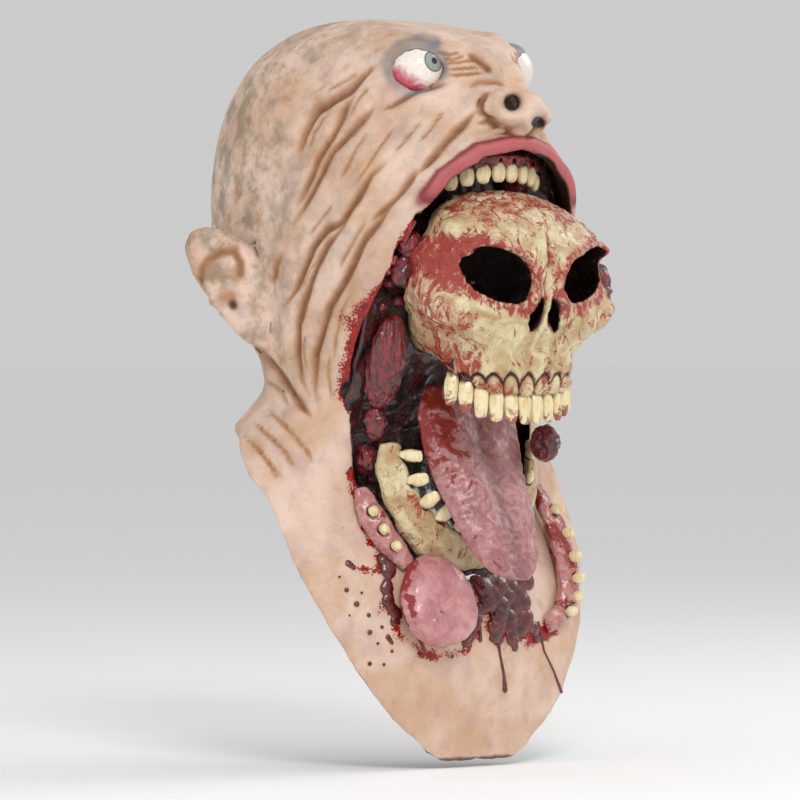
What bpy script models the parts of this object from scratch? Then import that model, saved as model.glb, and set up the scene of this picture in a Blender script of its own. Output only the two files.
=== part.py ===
"""Full-head latex zombie mask: a bald screaming head on a chest bib, with a skull bursting from its mouth.

The mask faces -Y, its right side is -X and +Z is up. The origin is the inside of the crown, where the mask
rests on the head that wears it. Lengths are in metres. Heights in the tables are shares of MASK_HEIGHT
above the hem's lowest point, widths are shares of HEAD_HALF_WIDTH and forward reaches of HEAD_FRONT.
"""

import math

import bmesh
import bpy
from mathutils import Vector

# Whole mask
MASK_HEIGHT = 0.450
HEAD_HALF_WIDTH = 0.087
HEAD_FRONT = 0.150
HEAD_BACK = 0.105
SKIN_WALL = 0.0025
SEAT_GAP = 0.0003
SECTION_POWER = 2.2
FLAT_ANGLE = 0.028

# Skin relief
FOLD_RISE = 0.0040
FOLD_WIDTH = 0.0062
HOLLOW_FOLLOW = 0.25
LIP_RISE = 0.0045
LIP_WIDTH = 0.0070
LID_RISE = 0.0045
LID_WIDTH = 0.0050
LID_WALL = 0.0016
LID_OPEN_HALF_WIDTH = 0.0153
LID_OPEN_HALF_HEIGHT = 0.0115

# Nose, ears and eyes
NOSE_TIP_RADIUS = 0.0150
NOSE_WING_RADIUS = 0.0100
NOSTRIL_RADIUS = 0.0064
EAR_HEIGHT = 0.077
EAR_WIDTH = 0.047
EAR_THICKNESS = 0.0080
EYE_RADIUS = 0.0165
EYE_DEPTH = 0.0070

# Skull face
SKULL_HEIGHT = 0.264 * MASK_HEIGHT
SKULL_HALF_WIDTH = 0.782 * HEAD_HALF_WIDTH
SKULL_REACH = 0.036
SKULL_BACK = 0.047
SKULL_RIM_BEHIND_AXIS = 0.041
SKULL_WALL = 0.0035
SKULL_LIFT = 0.021
BONE_RISE = 0.0060
SOCKET_HALF_WIDTH = 0.0215
SOCKET_HALF_HEIGHT = 0.0155
NASAL_HALF_WIDTH = 0.0055
NASAL_HALF_HEIGHT = 0.0105

# Teeth
SKULL_TOOTH_WIDTH = 0.0094
SKULL_TOOTH_LENGTH = 0.0200
UPPER_TOOTH_WIDTH = 0.0100
UPPER_TOOTH_LENGTH = 0.0100
JAW_TOOTH_WIDTH = 0.0095
JAW_TOOTH_LENGTH = 0.0120
LIP_TOOTH_WIDTH = 0.0078
LIP_TOOTH_LENGTH = 0.0070
LIP_ROOT_DEPTH = 0.0025
ROOT_DEPTH = 0.0050

# Gum, tongue, jawbone and torn skin
GUM_HALF_WIDTH = 0.037
GUM_REACH = 0.022
GUM_RADIUS = 0.0060
GUM_DROP = 0.011
GUM_END_TURN = 2.25
GUM_TOOTH_TURN = 1.20
TONGUE_HALF_WIDTH = 0.038
TONGUE_THICKNESS = 0.020
JAW_THICKNESS = 0.008
LIP_STRIP_WIDTH = 0.017
LIP_STRIP_THICKNESS = 0.011
CHIN_HALF_WIDTH = 0.027
CHIN_HALF_HEIGHT = 0.028
CHIN_THICKNESS = 0.017
BED_THICKNESS = 0.003
LUMP_SIZE = 0.010

# height, half width, reach to the front, reach to the back (shares of HEAD_BACK), axis forward of the middle,
# power of the front half's roundness (a low power gives a pointed face)
SKIN_SECTIONS = (
    (0.993, 0.32, 0.28, 0.29, 0.0, 1.9),
    (0.980, 0.53, 0.51, 0.44, 0.0, 1.7),
    (0.953, 0.71, 0.75, 0.59, 0.0, 1.55),
    (0.933, 0.80, 0.83, 0.68, 0.0, 1.5),
    (0.907, 0.87, 0.87, 0.78, 0.0, 1.5),
    (0.878, 0.92, 0.89, 0.87, 0.0, 1.55),
    (0.820, 0.965, 0.947, 0.97, 0.0, 1.85),
    (0.767, 0.99, 0.98, 1.00, 0.0, 2.15),
    (0.707, 1.00, 1.00, 0.98, 0.0, 2.2),
    (0.644, 0.99, 1.007, 0.895, 0.0, 2.2),
    (0.589, 0.975, 0.940, 0.72, 0.033, 2.2),
    (0.544, 0.96, 0.770, 0.57, 0.10, 2.2),
    (0.502, 0.90, 0.570, 0.66, 0.15, 2.2),
    (0.460, 1.05, 0.540, 0.74, 0.10, 2.2),
    (0.422, 1.28, 0.530, 0.72, 0.033, 2.2),
    (0.387, 1.49, 0.520, 0.67, 0.0, 2.2),
    (0.353, 1.63, 0.520, 0.57, 0.0, 2.2),
    (0.320, 1.70, 0.570, 0.50, 0.0, 2.2),
    (0.287, 1.72, 0.633, 0.48, 0.0, 2.2),
    (0.222, 1.72, 0.69, 0.48, 0.0, 2.2),
    (0.147, 1.72, 0.73, 0.48, 0.0, 2.2),
    (0.067, 1.72, 0.713, 0.48, 0.0, 2.2),
    (0.000, 1.72, 0.677, 0.48, 0.0, 2.2),
)

# top height, bottom height, rows between them, for the outer face and for the coarser hollow
SKIN_ROW_BANDS = (
    (0.993, 0.930, 4),
    (0.930, 0.800, 8),
    (0.800, 0.560, 8),
    (0.560, 0.360, 7),
    (0.360, -0.020, 4),
)
HOLLOW_ROW_BANDS = (
    (0.993, 0.930, 2),
    (0.930, 0.800, 4),
    (0.800, 0.560, 4),
    (0.560, 0.360, 7),
    (0.360, -0.020, 2),
)

# first turn, last turn, columns between them, in degrees away from the front
SKIN_COLUMN_BANDS = ((0.0, 40.0, 6), (40.0, 92.0, 12), (92.0, 180.0, 6))

# name, rise as a share of FOLD_RISE, width as a share of FOLD_WIDTH, then turn and height along the fold
SKIN_FOLDS = (
    ("temple", 1.0, 1.0, ((47, 0.940), (62, 0.873), (71, 0.800), (77, 0.727), (82, 0.673))),
    ("outer cheek", 1.1, 1.0, ((45, 0.900), (57, 0.853), (66, 0.793), (74, 0.733), (77, 0.687), (83, 0.620), (82, 0.567))),
    ("middle cheek", 0.9, 0.9, ((60, 0.753), (66, 0.720), (71, 0.673), (77, 0.620), (80, 0.567), (81, 0.513))),
    ("inner cheek", 1.1, 1.0, ((37, 0.873), (50, 0.807), (59, 0.753), (63, 0.700), (69, 0.633), (72, 0.567), (70, 0.500))),
    ("mouth side", 0.9, 0.9, ((32, 0.813), (43, 0.753), (51, 0.700), (59, 0.633), (63, 0.567), (64, 0.500))),
    ("jaw over neck", 1.5, 1.3, ((97, 0.560), (89, 0.513), (75, 0.473), (58, 0.440))),
    ("beside the nose", 0.7, 1.0, ((17, 0.876), (25, 0.847), (34, 0.813), (40, 0.780))),
    ("upper neck", 0.9, 0.8, ((110, 0.500), (85, 0.490), (75, 0.480))),
    ("lower neck", 0.8, 0.9, ((110, 0.452), (80, 0.440), (62, 0.420))),
    ("forehead", 0.7, 1.1, ((60, 0.968), (38, 0.972), (17, 0.960), (0, 0.955))),
    ("brow", 1.0, 1.2, ((42, 0.958), (28, 0.950), (14, 0.938), (0, 0.932))),
)

# half width and height round the torn mouth, from the middle of the upper lip to the middle of the chin
MOUTH_EDGE = (
    (0.00, 0.820),
    (0.29, 0.809),
    (0.52, 0.778),
    (0.69, 0.733),
    (0.78, 0.678),
    (0.83, 0.620),
    (0.84, 0.556),
    (0.83, 0.500),
    (0.80, 0.460),
    (0.76, 0.411),
    (0.71, 0.356),
    (0.60, 0.311),
    (0.44, 0.278),
    (0.23, 0.256),
    (0.00, 0.249),
)

# forward reach and height along the hem, seen from the side, from the nape to the bib's tip
HEM_SIDE = (
    (-1.07, 0.515),
    (-0.50, 0.507),
    (-0.31, 0.478),
    (0.00, 0.433),
    (0.187, 0.387),
    (0.300, 0.353),
    (0.408, 0.287),
    (0.483, 0.233),
    (0.582, 0.153),
    (0.634, 0.087),
    (0.657, 0.044),
    (0.667, 0.014),
    (0.673, 0.004),
    (0.900, 0.000),
)

# nose: name, radius, centre (width, forward, height), half sizes as shares of the radius
NOSE_FORMS = (
    ("tip", NOSE_TIP_RADIUS, (0.02, 0.950, 0.871), (1.05, 1.05, 0.95)),
    ("bridge", NOSE_TIP_RADIUS, (0.0, 0.860, 0.905), (0.75, 0.95, 1.15)),
    ("right wing", NOSE_WING_RADIUS, (-0.170, 0.900, 0.875), (1.00, 1.25, 1.05)),
    ("left wing", NOSE_WING_RADIUS, (0.180, 0.910, 0.862), (1.00, 1.25, 1.10)),
)
NOSTRIL_PLACES = ((-0.105, 1.010, 0.880), (0.125, 1.015, 0.857))
EYE_OPENING_TURN = (0.643, -0.766)

# ear outline: share of EAR_WIDTH away from the root, share of EAR_HEIGHT above the middle
EAR_OUTLINE = (
    (-0.12, -0.44),
    (0.10, -0.50),
    (0.32, -0.44),
    (0.52, -0.28),
    (0.72, -0.08),
    (0.92, 0.12),
    (1.00, 0.32),
    (0.90, 0.46),
    (0.66, 0.51),
    (0.38, 0.47),
    (0.10, 0.36),
    (-0.14, 0.20),
    (-0.20, 0.00),
    (-0.18, -0.24),
)

# ear rings: share of the outline's size, share of EAR_THICKNESS towards the front of the ear
EAR_RINGS = ((0.55, -0.78), (0.86, -0.62), (1.00, 0.00), (0.92, 0.55), (0.78, 0.42), (0.62, -0.30), (0.30, -0.46))

# height within the skull, half width, axis shift forward (share of SKULL_REACH), reach to the front, reach back
SKULL_SECTIONS = (
    (1.000, 0.32, -0.33, 0.39, 0.45),
    (0.944, 0.56, -0.22, 0.72, 0.60),
    (0.856, 0.72, -0.08, 0.94, 0.70),
    (0.752, 0.83, 0.03, 1.06, 0.76),
    (0.664, 0.91, 0.06, 1.03, 0.85),
    (0.560, 0.95, 0.06, 0.94, 0.95),
    (0.448, 0.985, 0.06, 0.92, 1.00),
    (0.336, 1.00, 0.00, 0.92, 1.00),
    (0.240, 0.86, -0.12, 0.97, 1.00),
    (0.144, 0.77, -0.22, 0.96, 1.00),
    (0.064, 0.74, -0.24, 0.93, 1.00),
    (0.000, 0.72, -0.26, 0.91, 1.00),
)
SKULL_AXIS_FORWARD = 0.867
SKULL_BASE_HEIGHT = 0.497
SKULL_ROWS = 13
SKULL_COLUMNS = 24

# name, side (0 both, -1 right, 1 left), turn, height, turn spread, height spread, rise (share of BONE_RISE)
BONE_FORMS = (
    ("inner brow", 0, 20.0, 0.63, 14.0, 0.050, 0.9),
    ("outer brow", 0, 50.0, 0.70, 14.0, 0.055, 1.0),
    ("brow dip", 0, 0.0, 0.60, 8.0, 0.050, -0.6),
    ("nose bridge", 0, 0.0, 0.47, 9.0, 0.070, 0.9),
    ("cheekbone", 0, 60.0, 0.36, 17.0, 0.070, 1.1),
    ("cheek hollow", 0, 60.0, 0.17, 16.0, 0.070, -1.2),
    ("tooth ridge", 0, 0.0, 0.12, 60.0, 0.070, 0.5),
    ("temple", 0, 80.0, 0.62, 12.0, 0.110, -0.9),
    ("right nub", -1, 44.0, 0.79, 7.0, 0.040, 1.5),
    ("left spur", 1, 74.0, 0.74, 8.0, 0.045, 1.5),
)

# tooth profile: share of the length below the seat, width, thickness
TOOTH_PROFILE = ((-1.0, 0.62, 0.62), (0.45, 1.00, 0.92), (1.0, 0.68, 0.46))

# tongue: height, forward reach of its middle, half width, thickness, edge curl (share of TONGUE_THICKNESS)
TONGUE_SECTIONS = (
    (0.507, 0.560, 0.72, 0.60, 0.0),
    (0.473, 0.620, 1.00, 0.90, 0.1),
    (0.420, 0.680, 1.00, 1.00, 0.3),
    (0.373, 0.755, 0.92, 1.00, 0.4),
    (0.327, 0.835, 0.82, 0.90, 0.4),
    (0.289, 0.895, 0.70, 0.78, 0.4),
    (0.262, 0.930, 0.50, 0.58, 0.3),
    (0.249, 0.945, 0.22, 0.34, 0.1),
)

# jawbone, from its side end to its middle: outer edge (width, forward, height), then inner edge
JAW_SECTIONS = (
    (0.715, 0.540, 0.430, 0.570, 0.620, 0.430),
    (0.715, 0.540, 0.391, 0.550, 0.627, 0.396),
    (0.650, 0.570, 0.338, 0.490, 0.645, 0.364),
    (0.500, 0.600, 0.291, 0.370, 0.655, 0.338),
    (0.290, 0.620, 0.264, 0.210, 0.665, 0.320),
    (0.000, 0.630, 0.258, 0.000, 0.670, 0.313),
)
JAW_TOOTH_PLACES = (0.10, 0.30, 0.50, 0.68, 0.86)

# flesh bed: height, forward reach at the sides, forward reach in the middle
BED_SECTIONS = (
    (0.850, 0.960, 0.960),
    (0.830, 0.850, 0.740),
    (0.806, 0.790, 0.600),
    (0.778, 0.750, 0.580),
    (0.733, 0.720, 0.580),
    (0.667, 0.640, 0.590),
    (0.620, 0.580, 0.607),
    (0.582, 0.533, 0.600),
    (0.556, 0.507, 0.587),
    (0.522, 0.453, 0.547),
    (0.460, 0.373, 0.413),
    (0.400, 0.373, 0.400),
    (0.353, 0.407, 0.440),
    (0.311, 0.480, 0.507),
    (0.278, 0.560, 0.573),
    (0.249, 0.613, 0.620),
    (0.231, 0.660, 0.667),
    (0.210, 0.720, 0.720),
)
BED_HALF_WIDTH = 1.03
BED_ROWS = 11
BED_COLUMNS = 8

# torn lip strips on the bib: half width, forward reach, height, girth share
RIGHT_LIP_PATH = (
    (-0.775, 0.487, 0.372, 0.55),
    (-0.755, 0.545, 0.335, 1.00),
    (-0.680, 0.600, 0.300, 1.00),
    (-0.560, 0.645, 0.268, 0.55),
)
LEFT_LIP_PATH = (
    (0.770, 0.500, 0.372, 0.60),
    (0.840, 0.565, 0.330, 1.00),
    (0.900, 0.605, 0.280, 1.15),
    (0.920, 0.625, 0.235, 1.15),
    (0.830, 0.655, 0.200, 1.00),
    (0.620, 0.685, 0.182, 0.60),
)
RIGHT_LIP_TEETH = (0.30, 0.52, 0.74)
LEFT_LIP_TEETH = (0.18, 0.31, 0.44, 0.57, 0.70, 0.82)

# chin flap: place (width, forward, height), rings (share of the outline, rise as a share of the thickness)
CHIN_PLACE = (-0.420, 0.700, 0.222)
CHIN_PROFILE = ((0.75, -0.45), (1.00, 0.05), (0.90, 0.62), (0.62, 0.86), (0.30, 0.80))
CHIN_NARROWING = 0.16
CHIN_TUCK = 0.45

# flesh lumps: name, centre (width, forward, height), half sizes across, deep and tall (shares of LUMP_SIZE), lean
FLESH_LUMPS = (
    ("berry_upper", (-0.665, 0.715, 0.693), (0.70, 0.75, 0.78), 0.0),
    ("berry_lower", (-0.690, 0.700, 0.658), (0.75, 0.80, 0.88), 0.0),
    ("muscle_right", (-0.680, 0.585, 0.537), (1.15, 1.15, 2.90), 0.28),
    ("muscle_left", (0.680, 0.585, 0.537), (1.15, 1.15, 2.90), 0.28),
    ("red_lump", (-0.690, 0.520, 0.456), (0.65, 0.75, 1.00), 0.0),
    ("lower_lump", (-0.665, 0.448, 0.408), (0.65, 0.80, 1.00), 0.0),
    ("hanging_lump", (0.865, 0.845, 0.630), (0.75, 0.80, 1.80), 0.0),
    ("throat_lump", (0.500, 0.760, 0.428), (0.70, 1.15, 1.15), 0.0),
)

# lump and the piece that it is pressed against
LUMP_SEATS = (
    ("throat_lump", "jaw_tooth_6"),
    ("throat_lump", "tongue"),
    ("red_lump", "muscle_right"),
    ("lower_lump", "red_lump"),
    ("berry_lower", "berry_upper"),
)

# name, red, green, blue, roughness
FINISHES = {
    "skin_latex": (0.62, 0.44, 0.32, 0.55),
    "eye_gloss": (0.80, 0.72, 0.68, 0.12),
    "gum_latex": (0.38, 0.06, 0.06, 0.35),
    "tooth_enamel": (0.80, 0.68, 0.38, 0.40),
    "bone_latex": (0.68, 0.55, 0.32, 0.50),
    "tongue_latex": (0.42, 0.18, 0.19, 0.40),
    "torn_flesh": (0.40, 0.12, 0.13, 0.40),
    "gore_latex": (0.10, 0.01, 0.015, 0.25),
    "lump_latex": (0.25, 0.02, 0.03, 0.25),
}


def level(share):
    """Height of a share of the mask's height, measured from the inside of the crown."""
    return share * MASK_HEIGHT - (MASK_HEIGHT - SKIN_WALL)


def at(across, forward, height):
    """Point from a share of the half width, of the front reach and of the height."""
    return Vector((across * HEAD_HALF_WIDTH, -forward * HEAD_FRONT, level(height)))


def read_table(table, column, key):
    """Value of one column at a key between the table's rows, on a smooth curve."""
    rows = table if table[0][0] < table[-1][0] else table[::-1]
    key = min(max(key, rows[0][0]), rows[-1][0])
    last = len(rows) - 1
    low = max(index for index in range(last) if rows[index][0] <= key)
    span = rows[low + 1][0] - rows[low][0]
    share = (key - rows[low][0]) / span

    def slope(index):
        before = rows[max(index - 1, 0)]
        after = rows[min(index + 1, last)]
        return (after[column] - before[column]) / (after[0] - before[0])

    start, end = rows[low][column], rows[low + 1][column]
    cube, square = share ** 3, share ** 2
    return (
        (2 * cube - 3 * square + 1) * start
        + (cube - 2 * square + share) * span * slope(low)
        + (3 * square - 2 * cube) * end
        + (cube - square) * span * slope(low + 1)
    )


def path_value(points, column, share):
    """Value of one column along a path of rows that are spaced evenly from 0 to 1."""
    rows = [(index / (len(points) - 1), row[column]) for index, row in enumerate(points)]
    return read_table(rows, 1, share)


def rounded(angle, power):
    """Across and forward shares of a rounded section at an angle from its front."""
    across, forward = math.sin(angle), math.cos(angle)
    return (
        math.copysign(abs(across) ** (2 / power), across),
        math.copysign(abs(forward) ** (2 / power), forward),
    )


def bands_to_values(bands):
    """List of evenly spaced values through a table of bands, ends included once."""
    values = [bands[0][0]]
    for first, last, count in bands:
        values += [first + (last - first) * step / count for step in range(1, count + 1)]
    return values


def closed_object(name, rings, finish=None):
    """Closed object through rings of points; a ring of one point closes to a tip, others get a cap."""
    bm = bmesh.new()
    loops = [[bm.verts.new(point) for point in ring] for ring in rings]
    for first, second in zip(loops, loops[1:]):
        count = max(len(first), len(second))
        for index in range(count):
            after = (index + 1) % count
            corners = []
            for loop, order in ((first, (index, after)), (second, (after, index))):
                corners += [loop[0]] if len(loop) == 1 else [loop[place] for place in order]
            bm.faces.new(corners)
    for loop in (loops[0], loops[-1]):
        if len(loop) > 1:
            bm.faces.new(loop)
    bmesh.ops.triangulate(bm, faces=bm.faces[:])
    bmesh.ops.recalc_face_normals(bm, faces=bm.faces[:])
    if bm.calc_volume(signed=True) < 0:
        bmesh.ops.reverse_faces(bm, faces=bm.faces[:])
    mesh = bpy.data.meshes.new(name)
    bm.to_mesh(mesh)
    bm.free()
    item = bpy.data.objects.new(name, mesh)
    bpy.context.scene.collection.objects.link(item)
    if finish:
        item.data.materials.append(finish)
    return item


def grown_copy(item, amount):
    """Copy of a piece with its surface moved outwards by an even amount."""
    bm = bmesh.new()
    bm.from_mesh(item.data)
    bm.normal_update()
    moves = [vert.normal * amount * min(vert.calc_shell_factor(), 2.0) for vert in bm.verts]
    for vert, move in zip(bm.verts, moves):
        vert.co += move
    mesh = bpy.data.meshes.new(item.name + "_grown")
    bm.to_mesh(mesh)
    bm.free()
    copy = bpy.data.objects.new(item.name + "_grown", mesh)
    bpy.context.scene.collection.objects.link(copy)
    return copy


def combine(item, tool, operation):
    """Apply an exact Boolean of the tool to the piece, then remove the tool."""
    modifier = item.modifiers.new("fit", "BOOLEAN")
    modifier.solver = "EXACT"
    modifier.operation = operation
    modifier.object = tool
    bpy.context.view_layer.update()
    depsgraph = bpy.context.evaluated_depsgraph_get()
    result = bpy.data.meshes.new_from_object(item.evaluated_get(depsgraph))
    item.modifiers.clear()
    item.data = result
    result.name = item.name
    bpy.data.objects.remove(tool)
    bm = bmesh.new()
    bm.from_mesh(result)
    bmesh.ops.remove_doubles(bm, verts=bm.verts[:], dist=0.00002)
    bmesh.ops.dissolve_degenerate(bm, edges=bm.edges[:], dist=0.00002)
    bmesh.ops.triangulate(bm, faces=bm.faces[:])
    bm.to_mesh(result)
    bm.free()


def make_room(item, neighbour):
    """Cut the seat of a neighbour out of a piece, with the seat gap all round it."""
    combine(item, grown_copy(neighbour, SEAT_GAP), "DIFFERENCE")


def outline_prism(name, outline, across, along, start, end):
    """Prism of an outline: each point is centre plus across and along shares, swept from start to end."""
    rings = []
    for offset in (start, end):
        rings.append([offset + across * first + along * second for first, second in outline])
    return closed_object(name, rings)


def oval(count, power=2.0):
    """Outline points of an oval one unit in half size."""
    return [rounded(2 * math.pi * step / count, power) for step in range(count)]


def ellipsoid(name, centre, half_sizes, finish=None, columns=10, rows=6, lean=0.0):
    """Closed ball with three half sizes; lean shears its top forward."""
    rings = [[centre + Vector((0, lean * half_sizes.z, -half_sizes.z))]]
    for row in range(1, rows):
        lift = -math.cos(math.pi * row / rows)
        girth = math.sin(math.pi * row / rows)
        middle = centre + Vector((0, -lean * half_sizes.z * lift, half_sizes.z * lift))
        rings.append([
            middle + Vector((half_sizes.x * girth * across, -half_sizes.y * girth * forward, 0))
            for across, forward in oval(columns)
        ])
    rings.append([centre + Vector((0, -lean * half_sizes.z, half_sizes.z))])
    return closed_object(name, rings, finish)


def mouth_outline():
    """Points of the torn mouth seen from the front, all the way round."""
    left = [(across * HEAD_HALF_WIDTH, level(height)) for across, height in MOUTH_EDGE]
    right = [(-across, height) for across, height in left[-2:0:-1]]
    return left + right


def distance_to_path(point, path):
    """Distance from a flat point to a path of flat points."""
    nearest = math.inf
    for first, second in zip(path, path[1:]):
        run = (second[0] - first[0], second[1] - first[1])
        away = (point[0] - first[0], point[1] - first[1])
        share = (run[0] * away[0] + run[1] * away[1]) / (run[0] ** 2 + run[1] ** 2)
        share = min(max(share, 0.0), 1.0)
        nearest = min(nearest, math.hypot(away[0] - share * run[0], away[1] - share * run[1]))
    return nearest


def bell(distance, width):
    """Smooth bump of one unit that fades with distance."""
    return math.exp(-(distance / width) ** 2)


def plain_skin_point(turn, height):
    """Point of the smooth head, neck and bib without folds."""
    ahead = math.cos(turn) > 0
    across, forward = rounded(turn, read_table(SKIN_SECTIONS, 5, height) if ahead else SECTION_POWER)
    front = read_table(SKIN_SECTIONS, 2, height) * HEAD_FRONT
    back = read_table(SKIN_SECTIONS, 3, height) * HEAD_BACK
    half_width = read_table(SKIN_SECTIONS, 1, height) * HEAD_HALF_WIDTH
    axis = read_table(SKIN_SECTIONS, 4, height) * HEAD_FRONT
    reach = front if forward > 0 else back
    return Vector((across * half_width, -axis - forward * reach, level(height)))


def skin_rise(turn, height, point):
    """Height of the skin's folds, lips and lids above the smooth head."""
    degrees = abs(math.degrees(turn))
    round_head = HEAD_HALF_WIDTH * math.pi / 180
    here = (degrees * round_head, height * MASK_HEIGHT)
    rise = 0.0
    for _name, fold_rise, fold_width, places in SKIN_FOLDS:
        path = [(place_turn * round_head, place_height * MASK_HEIGHT) for place_turn, place_height in places]
        rise += fold_rise * FOLD_RISE * bell(distance_to_path(here, path), fold_width * FOLD_WIDTH)
    if point.y < 0:
        upper = [(across * HEAD_HALF_WIDTH, level(place)) for across, place in MOUTH_EDGE[:6]]
        rise += LIP_RISE * bell(distance_to_path((abs(point.x), point.z), upper), LIP_WIDTH)
        eye = eye_centre(1)
        away = (Vector((abs(point.x), point.y, point.z)) - eye).length
        rise += LID_RISE * bell(away - EYE_RADIUS - LID_WIDTH, LID_WIDTH)
    return rise


def skin_point(turn, height, inset, follow):
    """Point of the skin, moved inwards by an inset and outwards by a share of the folds."""
    step = 0.03
    point = plain_skin_point(turn, height)
    round_way = plain_skin_point(turn + step, height) - plain_skin_point(turn - step, height)
    up_way = plain_skin_point(turn, height + 0.004) - plain_skin_point(turn, height - 0.004)
    outward = round_way.cross(up_way).normalized()
    return point + outward * (skin_rise(turn, height, point) * follow - inset)


def skin_solid(name, inset, follow, coarse, finish=None):
    """Closed solid inside the skin's outer face, on a coarser grid where it is asked for."""
    half = bands_to_values(SKIN_COLUMN_BANDS)[::2 if coarse else 1]
    turns = half + [-value for value in half[-2:0:-1]]
    heights = bands_to_values(HOLLOW_ROW_BANDS if coarse else SKIN_ROW_BANDS)
    rings = [[Vector((0, 0, level(1.0) - inset))]]
    for height in heights:
        rings.append([skin_point(math.radians(turn), height, inset, follow) for turn in turns])
    deeper = Vector((0, 0, -inset * 4 - 0.004))
    rings.append([point + deeper for point in rings[-1]])
    return closed_object(name, rings, finish)


def eye_centre(side):
    """Middle of an eyeball; side is -1 for the mask's right and 1 for its left."""
    return at(side * 0.402, 0.585, 0.927)


def make_eye(name, side, finish):
    """Domed eyeball that stands out of the lids, cut flat behind."""
    eye = ellipsoid(name, eye_centre(side), Vector((1, 1, 1)) * EYE_RADIUS, finish, 12, 7)
    facing = Vector((side * 0.50, -0.75, 0.43)).normalized()
    bm = bmesh.new()
    bm.from_mesh(eye.data)
    plane = eye_centre(side) - facing * EYE_DEPTH
    cut = bmesh.ops.bisect_plane(
        bm, geom=bm.verts[:] + bm.edges[:] + bm.faces[:], plane_co=plane, plane_no=facing, clear_inner=True
    )
    rim = [part for part in cut["geom_cut"] if isinstance(part, bmesh.types.BMEdge)]
    bmesh.ops.holes_fill(bm, edges=rim, sides=0)
    bmesh.ops.triangulate(bm, faces=bm.faces[:])
    bmesh.ops.recalc_face_normals(bm, faces=bm.faces[:])
    bm.to_mesh(eye.data)
    bm.free()
    return eye


def make_ear(side):
    """Ear with a rolled rim and a sunken bowl, with its root inside the head."""
    root = at(side * 0.985, 0.02, 0.636)
    away = Vector((side * 0.75, 0.65, 0.0)).normalized()
    up = Vector((0.0, 0.14, 1.0)).normalized()
    front = up.cross(away) * side
    middle = Vector((sum(p[0] for p in EAR_OUTLINE), sum(p[1] for p in EAR_OUTLINE))) / len(EAR_OUTLINE)
    rings = []
    for size, lift in EAR_RINGS:
        ring = []
        for across, height in EAR_OUTLINE:
            place = middle + (Vector((across, height)) - middle) * size
            ring.append(
                root + away * place.x * EAR_WIDTH + up * place.y * EAR_HEIGHT + front * lift * EAR_THICKNESS
            )
        rings.append(ring)
    return closed_object("ear", rings)


def make_skin(finish):
    """Head, neck and bib as one shell with nose, nostrils, ears, mouth opening and hem."""
    skin = skin_solid("mask_skin", 0.0, 1.0, False, finish)
    for name, radius, place, sizes in NOSE_FORMS:
        bump = ellipsoid(name, at(*place), Vector(sizes) * radius, None, 10, 6)
        combine(skin, bump, "UNION")
    for side in (-1, 1):
        lids = ellipsoid("lids", eye_centre(side), Vector((1, 1, 1)) * (EYE_RADIUS + LID_WALL), None, 12, 7)
        combine(skin, lids, "UNION")
    for side in (-1, 1):
        combine(skin, make_ear(side), "UNION")
    for place in NOSTRIL_PLACES:
        hole = ellipsoid("nostril", at(*place), Vector((0.95, 1.5, 0.95)) * NOSTRIL_RADIUS, None, 8, 6)
        combine(skin, hole, "DIFFERENCE")
    for side in (-1, 1):
        out = Vector((side * EYE_OPENING_TURN[0], EYE_OPENING_TURN[1], 0.0))
        across = Vector((-out.y, out.x, 0.0)) * LID_OPEN_HALF_WIDTH
        tool = outline_prism(
            "eye opening", oval(12), across, Vector((0, 0, 1)) * LID_OPEN_HALF_HEIGHT,
            eye_centre(side), eye_centre(side) + out * EYE_RADIUS * 2,
        )
        combine(skin, tool, "DIFFERENCE")
    combine(skin, skin_solid("hollow", SKIN_WALL, HOLLOW_FOLLOW, True), "DIFFERENCE")
    hem = [(-forward * HEAD_FRONT, level(height)) for forward, height in HEM_SIDE]
    below = level(0.0) - MASK_HEIGHT
    outline = hem + [(hem[-1][0], below), (hem[0][0], below)]
    wide = HEAD_HALF_WIDTH * 3
    tool = outline_prism(
        "hem", outline, Vector((0, 1, 0)), Vector((0, 0, 1)), Vector((-wide, 0, 0)), Vector((wide, 0, 0))
    )
    combine(skin, tool, "DIFFERENCE")
    tool = outline_prism(
        "mouth", mouth_outline(), Vector((1, 0, 0)), Vector((0, 0, 1)),
        Vector((0, -2 * HEAD_FRONT, 0)), Vector((0, -0.1 * HEAD_FRONT, 0)),
    )
    combine(skin, tool, "DIFFERENCE")
    return skin


def skull_point(turn, height, inset):
    """Point of the skull's face; turn is from the front, height is a share of the skull's height."""
    across, forward = rounded(turn, SECTION_POWER)
    half_width = read_table(SKULL_SECTIONS, 1, height) * SKULL_HALF_WIDTH
    reach = read_table(SKULL_SECTIONS, 3, height) * SKULL_REACH
    axis = read_table(SKULL_SECTIONS, 2, height) * SKULL_REACH + SKULL_AXIS_FORWARD * HEAD_FRONT
    degrees = math.degrees(turn)
    rise = 0.0
    for _name, side, form_turn, form_height, turn_spread, height_spread, form_rise in BONE_FORMS:
        if side == 0 or side * degrees > 0:
            amount = bell(abs(degrees) - form_turn, turn_spread) * bell(height - form_height, height_spread)
            rise += amount * form_rise * BONE_RISE
    depth = reach if forward > 0 else read_table(SKULL_SECTIONS, 4, height) * SKULL_BACK
    x = across * (half_width + rise - inset)
    y = -(axis + forward * (depth + rise - inset))
    behind = min((axis + reach + y) / SKULL_REACH, 1.3)
    lift = SKULL_LIFT * (1 - height) * max(behind, 0.0)
    return Vector((x, y, level(SKULL_BASE_HEIGHT) + height * SKULL_HEIGHT + lift))


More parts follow.
